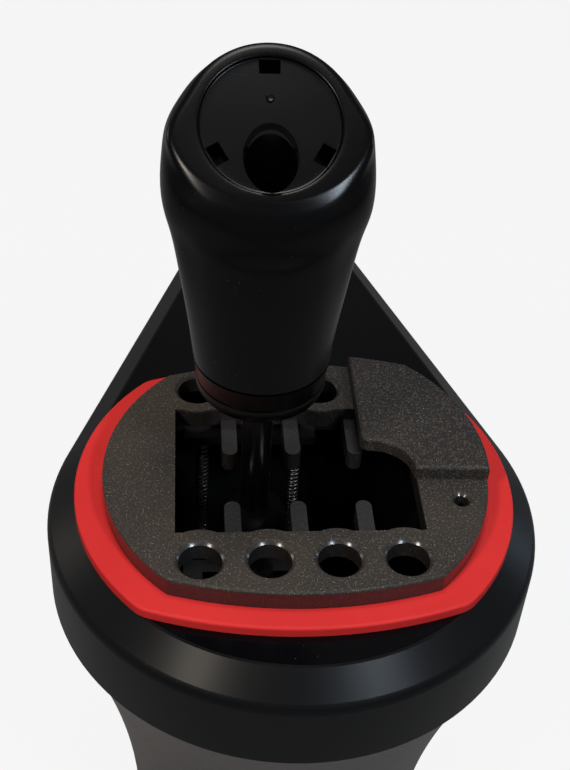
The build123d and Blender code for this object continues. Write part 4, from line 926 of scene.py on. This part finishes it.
@dataclass
class ScrewSet:
    """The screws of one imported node, each with a rounded head, a driver recess and a thread."""

    node: str
    body: str
    head_radius: float
    head_height: float
    shank_radius: float
    facing: tuple[float, float, float]
    drive: Drive = Drive.CROSS
    form: HeadForm = HeadForm.PAN
    pitch: float = 0.7 * MM
    thread_depth: float = 0.07
    # Angle of the first screw's drive and the step to the next, in radians
    spin: tuple[float, float] = (0.35, 0.7)
    # Shares of the head's height and radius: recess depth, hexagon, and length and width of a cross arm
    recess_depth: float = 0.55
    hexagon: float = 0.55
    cross_arm: tuple[float, float] = (1.15, 0.26)
    cross_taper: float = 0.45
    crease: float = 35.0

    def build(self, dresser: Dresser) -> None:
        """Model one screw and set a copy at each packed one's place.

        Args:
            dresser: The dresser that holds the finishes.
        """
        facing = Vector(self.facing)
        boxes = Bench.islands(self.node)
        along = max(range(3), key=lambda axis: abs(facing[axis]))
        length = boxes[0][1][along] - boxes[0][0][along]
        screw = self.screw(length)
        turn = facing.to_track_quat("Z", "Y").to_matrix().to_4x4()
        copies = []
        for index, (low, high) in enumerate(boxes):
            place = (low + high) / 2.0
            place[along] = high[along] if facing[along] > 0.0 else low[along]
            spin = Matrix.Rotation(self.spin[1] * index + self.spin[0], 4, "Z")
            copies.append(Bench.copy(screw, Matrix.Translation(place) @ turn @ spin))
        bpy.data.objects.remove(screw)
        joined = Bench.join(f"{self.node}_driven", copies)
        Bench.soften(joined, self.crease)
        dresser.dress(joined, Look.ZINC)
        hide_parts(self.node)
        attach(joined, self.body)
        LOG.info("set %d screws of %s", len(copies), joined.name)

    def screw(self, length: float) -> Piece:
        """Model one screw that points down from the origin, its head's top at zero.

        Args:
            length: The whole length.

        Returns:
            The screw.
        """
        head = self.head()
        crest = self.shank_radius
        root = crest * (1.0 - 2.0 * self.thread_depth)
        rise = self.pitch / 2.0
        sunk = -self.head_height + 0.2 * MM
        height = -self.head_height - rise
        points = [(0.0, sunk), (crest, sunk), (crest, height)]
        while height - 2.0 * rise > -length + crest / 2.0:
            points += [(root, height - rise), (crest, height - 2.0 * rise)]
            height -= 2.0 * rise
        points += [(crest * 0.7, -length), (0.0, -length)]
        return Bench.join("screw", [head, Bench.turned("shank", points, 16)])

    def head(self) -> Piece:
        """Model the head with its rounded rim and its recess.

        Returns:
            The head.
        """
        head = Bench.cylinder("head", self.head_radius, -self.head_height, 0.0, 32)
        Bench.pick(head, lambda face: face.normal.z > 0.9)
        share, segments = self.form.value
        bpy.ops.mesh.bevel(offset=share * self.head_height, segments=segments, affect="EDGES")
        Bench.close()
        Bench.cut(head, self.recess())
        return head

    def recess(self) -> list[Piece]:
        """Model the tools that cut the driver's recess.

        Returns:
            The tools.
        """
        depth = self.recess_depth * self.head_height
        if self.drive is Drive.HEX:
            return [Bench.cylinder("recess", self.hexagon * self.head_radius, -depth, 0.5 * MM, 6)]
        length, width = (share * self.head_radius for share in self.cross_arm)
        tools = []
        for angle in (0.0, math.pi / 2.0):
            Bench.clear()
            bpy.ops.mesh.primitive_cube_add(
                size=1.0, location=(0.0, 0.0, 0.25 * MM - depth / 2.0), rotation=(0.0, 0.0, angle),
                scale=(length, width, depth + 0.5 * MM),
            )
            tool = Bench.name("recess")
            Bench.pick(tool, lambda face: face.normal.z < -0.9)
            taper = (self.cross_taper, self.cross_taper, 1.0)
            bpy.ops.transform.resize(value=taper, center_override=(0.0, 0.0, -depth))
            Bench.close()
            tools.append(tool)
        return tools


@dataclass
class Knob:
    """The leaning knob with its crested head, cap seat, clip slots and bolt well."""

    middle: float = -11.3 * MM
    foot: float = 191.0 * MM
    height: float = 62.05 * MM
    radius: float = 25.6 * MM
    lean: float = 6.0 * MM
    tilt: float = math.radians(39.0)
    seat_radius: float = 16.5 * MM
    seat_depth: float = 1.0 * MM
    # Drops of the rings in the seat's wall, and radii as shares of those in its floor
    seat_wall: tuple[float, float] = (0.35 * MM, 0.85 * MM)
    seat_floor: tuple[float, ...] = (0.99, 0.95, 0.6, 0.2)
    rod_top: float = 226.0 * MM
    well_radius: float = 6.0 * MM
    bore_radius: float = 4.05 * MM
    # Width and depth of the clip slots, and their circle's radius
    slot: tuple[float, float, float] = (5.0 * MM, 3.4 * MM, 14.2 * MM)
    slot_height: float = 12.0 * MM
    well_height: float = 60.0 * MM
    # Radius of the nub and its distance from the seat's middle
    nub: tuple[float, float] = (1.0 * MM, 6.5 * MM)
    # Radius as a share and height in millimetres of the nub's outline
    nub_line: tuple[tuple[float, float], ...] = (
        (1.0, -0.4), (1.0, 0.25), (0.8, 0.5), (0.45, 0.4), (0.0, 0.45),
    )
    sides: int = 64
    # Height, radius, lean and tilt of each ring, as shares
    rings: tuple[tuple[float, float, float, float], ...] = (
        (0.0, 0.684, 0.0, 0.0),
        (0.18, 0.737, 0.1, 0.0),
        (0.38, 0.815, 0.3, 0.0),
        (0.56, 0.893, 0.6, 0.12),
        (0.73, 0.99, 0.92, 0.5),
        (0.87, 0.97, 0.97, 0.77),
        (0.935, 0.905, 0.96, 0.9),
        (0.978, 0.82, 0.97, 0.98),
    )
    # Radius as a share and drop in millimetres of the crest's rings, outside first
    crest: tuple[tuple[float, float], ...] = (
        (0.785, 0.36), (0.757, 0.16), (0.738, 0.02), (0.715, 0.0), (0.67, 0.0), (0.655, 0.05),
    )
    # How far the flanks go out, over which widths beyond the seat, in front and how far down
    flank: float = 4.0 * MM
    flank_fades: tuple[float, float, float] = (0.4 * MM, 2.0 * MM, 2.6 * MM)
    flank_front: tuple[float, float] = (-9.0 * MM, 5.0 * MM)
    flank_depth: float = 14.0 * MM
    # How far the front wall is drawn in, up to which height, where that fades, and in front
    belly: float = 5.0 * MM
    belly_height: float = 38.0 * MM
    belly_fade: tuple[float, float] = (36.0 * MM, 51.0 * MM)
    belly_front: tuple[float, float] = (-2.0 * MM, 12.0 * MM)
    rim: float = 0.45 * MM
    foot_edge: float = 0.25 * MM
    crease: float = 32.0

    def build(self, dresser: Dresser) -> None:
        """Shape the knob ring by ring, sink its seat and cut its openings.

        Args:
            dresser: The dresser that holds the finishes.
        """
        knob = self.shell()
        Bench.cut(knob, self.tools())
        knob = Bench.join("knob_shell", [knob, self.nub_dome()])
        Bench.soften(knob, self.crease)
        dresser.dress(knob, Look.KNOB)
        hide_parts("knob")
        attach(knob, "lever")
        LOG.info("shaped %s from %d rings", knob.name, len(self.rings))

    def smooth_rings(self) -> list[tuple[float, float, float, float]]:
        """Give finer rings along smooth lines through the table's rings.

        Returns:
            Height, radius, lean and tilt of each ring, as shares.
        """
        rows = [self.rings[0], *self.rings, self.rings[-1]]
        fine = []
        for before, first, second, after in zip(rows, rows[1:], rows[2:], rows[3:]):
            for part in (0.0, 1.0 / 3.0, 2.0 / 3.0):
                fine.append(tuple(self.between(values, part) for values in zip(before, first, second, after)))
        return [*fine, self.rings[-1]]

    @staticmethod
    def between(values: Sequence[float], part: float) -> float:
        """Give a point on the smooth line between the second and third of four values.

        Args:
            values: The four values.
            part: The share of the way.

        Returns:
            The value there.
        """
        before, first, second, after = values
        rise = (second - before) * part + (2.0 * before - 5.0 * first + 4.0 * second - after) * part**2
        return first + 0.5 * (rise + (3.0 * first - before - 3.0 * second + after) * part**3)

    def shell(self) -> Piece:
        """Extrude the rings from the foot to the sunk seat.

        Returns:
            The closed shell.
        """
        Bench.clear()
        bpy.ops.mesh.primitive_circle_add(
            vertices=self.sides, radius=self.rings[0][1] * self.radius, fill_type="NGON",
            location=(self.middle, 0.0, self.foot),
        )
        shell = Bench.name("knob_shell")
        Bench.open(shell, "EDGE")
        bpy.ops.mesh.region_to_loop()
        here = (Vector((self.middle, 0.0, self.foot)), self.rings[0][1] * self.radius, 0.0)
        here = self.next_ring(here, here[0] + Vector((0.0, 0.0, self.foot_edge)), here[1], 0.0)
        for height, radius, lean, tilt in self.smooth_rings()[1:]:
            place = Vector((self.middle, lean * self.lean, self.foot + height * self.height))
            here = self.next_ring(here, place, radius * self.radius, tilt * self.tilt)
        seat = Vector((self.middle, self.lean, self.foot + self.height))
        up = Vector((0.0, -math.sin(self.tilt), math.cos(self.tilt)))
        steps = [(share * self.radius, -drop * MM) for share, drop in self.crest]
        steps += [(self.seat_radius, -drop) for drop in self.seat_wall]
        steps += [(share * self.seat_radius, -self.seat_depth) for share in self.seat_floor]
        for radius, rise in steps:
            here = self.next_ring(here, seat + up * rise, radius, self.tilt)
        bpy.ops.mesh.edge_face_add()
        bpy.ops.mesh.select_all(action="SELECT")
        bpy.ops.mesh.normals_make_consistent(inside=False)
        Bench.close()
        self.widen(shell)
        self.draw_in(shell)
        return Bench.modify(shell, "SUBSURF", levels=1, render_levels=1)

    def widen(self, shell: Piece) -> None:
        """Push the flanks of the head out in front, so that its crest runs into the widest sides.

        Args:
            shell: The shell before it is made finer.
        """
        seat = self.seat_frame()
        back = seat.inverted()
        start, full, end = (self.seat_radius + width for width in self.flank_fades)
        for vertex in shell.data.vertices:
            local = back @ vertex.co
            reach = math.hypot(local.x, local.y)
            if reach < self.seat_radius or local.z < -self.flank_depth:
                continue
            outside = self.share(reach, start, full)
            inside = 1.0 - self.share(reach, end, self.radius)
            ahead = self.share(-local.y, *self.flank_front)
            local.x *= 1.0 + self.flank * outside * inside * ahead / reach
            vertex.co = seat @ local

    def draw_in(self, shell: Piece) -> None:
        """Draw the front wall in, so that it runs straight from the crest to the foot.

        Args:
            shell: The shell before it is made finer.
        """
        for vertex in shell.data.vertices:
            height = vertex.co.z - self.foot
            low = min(1.0, max(0.0, height / self.belly_height))
            high = 1.0 - self.share(height, *self.belly_fade)
            ahead = self.share(-vertex.co.y, *self.belly_front)
            vertex.co.y += self.belly * low * high * ahead

    @staticmethod
    def share(value: float, low: float, high: float) -> float:
        """Give a smooth share from 0 to 1 between two limits."""
        part = min(1.0, max(0.0, (value - low) / (high - low)))
        return part * part * (3.0 - 2.0 * part)

    @staticmethod
    def next_ring(
        here: tuple[Vector, float, float], place: Vector, radius: float, tilt: float
    ) -> tuple[Vector, float, float]:
        """Extrude the open ring and bring it to its next place, size and tilt.

        Args:
            here: The open ring's place, radius and tilt.
            place: The next place.
            radius: The next radius.
            tilt: The next tilt.

        Returns:
            The next place, radius and tilt.
        """
        bpy.ops.mesh.extrude_region_move(TRANSFORM_OT_translate={"value": tuple(place - here[0])})
        share = radius / here[1]
        bpy.ops.transform.resize(value=(share, share, share), center_override=tuple(place))
        if abs(tilt - here[2]) > 1e-6:
            bpy.ops.transform.rotate(value=here[2] - tilt, orient_axis="X", center_override=tuple(place))
        return place, radius, tilt

    def seat_frame(self) -> Matrix:
        """Give the place and tilt of the seat's floor."""
        head = Matrix.Translation((self.middle, self.lean, self.foot + self.height))
        return head @ Matrix.Rotation(self.tilt, 4, "X") @ Matrix.Translation((0.0, 0.0, -self.seat_depth))

    def tools(self) -> list[Piece]:
        """Model what is cut away: the lever's bore, the bolt well and the clip slots.

        Returns:
            The tools.
        """
        under, over = self.foot - 2.0 * MM, self.rod_top + 0.1 * MM
        bore = Bench.cylinder("bore", self.bore_radius, under, over, 48)
        well = Bench.cylinder("well", self.well_radius, self.rod_top, self.rod_top + self.well_height, 64)
        for tool in (bore, well):
            tool.data.transform(Matrix.Translation((self.middle, 0.0, 0.0)))
        wide = self.well_radius + self.rim
        line = [(0.0, MM), (wide + MM, MM), (wide - MM, -MM), (0.0, -MM)]
        flare = Bench.turned("flare", line, 64)
        slant = 1.0 / math.cos(self.tilt)
        stretch = Matrix.Diagonal((1.0, slant, 1.0, 1.0))
        flare.data.transform(self.seat_frame() @ Matrix.Translation((0.0, -self.lean * slant, 0.0)) @ stretch)
        tools = [bore, well, flare]
        width, depth, circle = self.slot
        for step in range(3):
            Bench.clear()
            bpy.ops.mesh.primitive_cube_add(size=1.0, scale=(width, depth, self.slot_height))
            slot = Bench.name("slot")
            turn = Matrix.Rotation(step * math.tau / 3.0, 4, "Z")
            slot.data.transform(self.seat_frame() @ turn @ Matrix.Translation((0.0, circle, 0.0)))
            tools.append(slot)
        return tools

    def nub_dome(self) -> Piece:
        """Turn the small moulding nub on the seat.

        Returns:
            The nub.
        """
        radius, distance = self.nub
        line = [(share * radius, height * MM) for share, height in self.nub_line]
        dome = Bench.turned("nub", line, 20)
        dome.data.transform(self.seat_frame() @ Matrix.Translation((0.0, distance, 0.0)))
        return dome


@dataclass(frozen=True)
class Lamp:
    """One soft square lamp, its place and side in metres and its power in watts."""

    name: str
    place: Colour
    size: float
    power: float
    colour: Colour

    def hang(self, aim: Colour) -> None:
        """Hang the lamp.

        Args:
            aim: The point that it faces.
        """
        data = bpy.data.lights.new(self.name, "AREA")
        data.shape = "SQUARE"
        data.size = self.size
        data.energy = self.power
        data.color = self.colour
        lamp = bpy.data.objects.new(self.name, data)
        bpy.context.scene.collection.objects.link(lamp)
        lamp.location = self.place
        lamp.rotation_euler = (Vector(aim) - lamp.location).to_track_quat("-Z", "Y").to_euler()


@dataclass
class Studio:
    """The pale floor, the soft lamps and the camera at the photograph's angle."""

    floor_half: float = 6.0
    floor_z: float = -0.4 * MM
    floor_colour: Colour = (0.22, 0.22, 0.22)
    floor_white: float = 0.9
    camera_place: Colour = (-0.03185, -0.24876, 0.39283)
    camera_right: Colour = (0.9966, -0.0642, 0.0522)
    camera_up: Colour = (0.0021, 0.6501, 0.7599)
    lens: float = 58.66
    sensor: float = 36.0
    nearest: float = 10.0 * MM
    room: Colour = (0.1, 0.1, 0.105)
    aim: Colour = (0.0, 0.0, 0.17)
    lamps: tuple[Lamp, ...] = (
        Lamp("left_lamp", (-0.62, -0.62, 0.9), 0.18, 6.0, (1.0, 0.91, 0.8)),
        Lamp("right_lamp", (0.52, -0.68, 0.9), 0.18, 6.5, (0.76, 0.88, 1.0)),
        Lamp("top_lamp", (0.0, 0.1, 1.4), 0.4, 7.0, (1.0, 0.98, 0.95)),
        Lamp("left_strip", (-1.1, 0.5, 0.42), 0.3, 1.2, (1.0, 0.93, 0.84)),
        Lamp("right_strip", (1.1, 0.48, 0.28), 0.22, 0.7, (0.6, 0.78, 1.0)),
    )

    def floor(self) -> None:
        """Lay the floor, white to the camera and pale to the object."""
        bpy.ops.object.select_all(action="DESELECT")
        bpy.ops.mesh.primitive_plane_add(size=2.0 * self.floor_half, location=(0.0, 0.0, self.floor_z))
        floor = bpy.context.object
        floor.name = "floor"
        graph = Graph(bpy.data.materials.new("floor_paper"))
        plain = graph.node("ShaderNodeBsdfDiffuse", {"Color": (*self.floor_colour, 1.0)})
        white = graph.node("ShaderNodeEmission", {"Color": (*WHITE, 1.0), "Strength": 1.0})
        share = graph.seen() * self.floor_white
        graph.show(graph.node("ShaderNodeMixShader", {0: share, 1: plain, 2: white}))
        floor.data.materials.append(graph.owner)

    def world(self) -> None:
        """Set the room to a soft grey, white to the camera."""
        graph = Graph(bpy.data.worlds.new("studio_room"))
        colour = graph.mix(graph.seen(), self.room, WHITE)
        background = graph.node("ShaderNodeBackground", {"Color": colour, "Strength": 1.0})
        graph.show(background, "ShaderNodeOutputWorld")
        bpy.context.scene.world = graph.owner

    def camera(self) -> None:
        """Set the camera where the photograph was taken from."""
        data = bpy.data.cameras.new("camera")
        data.lens = self.lens
        data.sensor_width = self.sensor
        data.clip_start = self.nearest
        camera = bpy.data.objects.new("camera", data)
        bpy.context.scene.collection.objects.link(camera)
        right = Vector(self.camera_right).normalized()
        back = right.cross(Vector(self.camera_up)).normalized()
        up = back.cross(right)
        turn = Matrix((right, up, back)).transposed().to_4x4()
        camera.matrix_world = Matrix.Translation(self.camera_place) @ turn
        bpy.context.scene.camera = camera

    def build(self) -> None:
        """Set up floor, room, lamps and camera."""
        self.floor()
        self.world()
        for lamp in self.lamps:
            lamp.hang(self.aim)
        self.camera()
        bpy.context.scene.view_settings.view_transform = "Standard"


def screw_sets() -> list[ScrewSet]:
    """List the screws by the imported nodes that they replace.

    Returns:
        The sets.
    """
    down, up, away = (0.0, 0.0, -1.0), (0.0, 0.0, 1.0), (0.0, 1.0, 0.0)
    small = (3.0 * MM, 2.0 * MM, 1.5 * MM, down)
    socket = (Drive.HEX, HeadForm.CHEESE)
    return [
        ScrewSet("base_screws", "housing", *small),
        ScrewSet("shell_screws", "housing", *small),
        ScrewSet("jaw_screws", "housing", *small),
        ScrewSet("carrier_screws", "housing", 4.0 * MM, 2.0 * MM, 1.9 * MM, down),
        ScrewSet("frame_screws", "housing", 4.0 * MM, 3.0 * MM, 2.5 * MM, up, *socket),
        ScrewSet("arm_bolts", "housing", 4.2 * MM, 3.5 * MM, 2.5 * MM, away, *socket),
    ]


def main() -> None:
    """Dress the shifter, build its finer pieces and set up the studio."""
    logging.basicConfig(level=logging.INFO, format="%(name)s: %(message)s")
    dresser = Dresser()
    dresser.dress_nodes()
    for side in ("left", "right"):
        CoilSpring(f"centering_spring_{side}", "housing", "cradle", 0.6 * MM, 28).build(dresser)
    CoilSpring("detent_spring", "lever", "plunger", 0.7 * MM, 5).build(dresser)
    ClampScrew().build(dresser)
    Knob().build(dresser)
    for screws in screw_sets():
        screws.build(dresser)
    Studio().build()


if __name__ == "__main__":
    main()
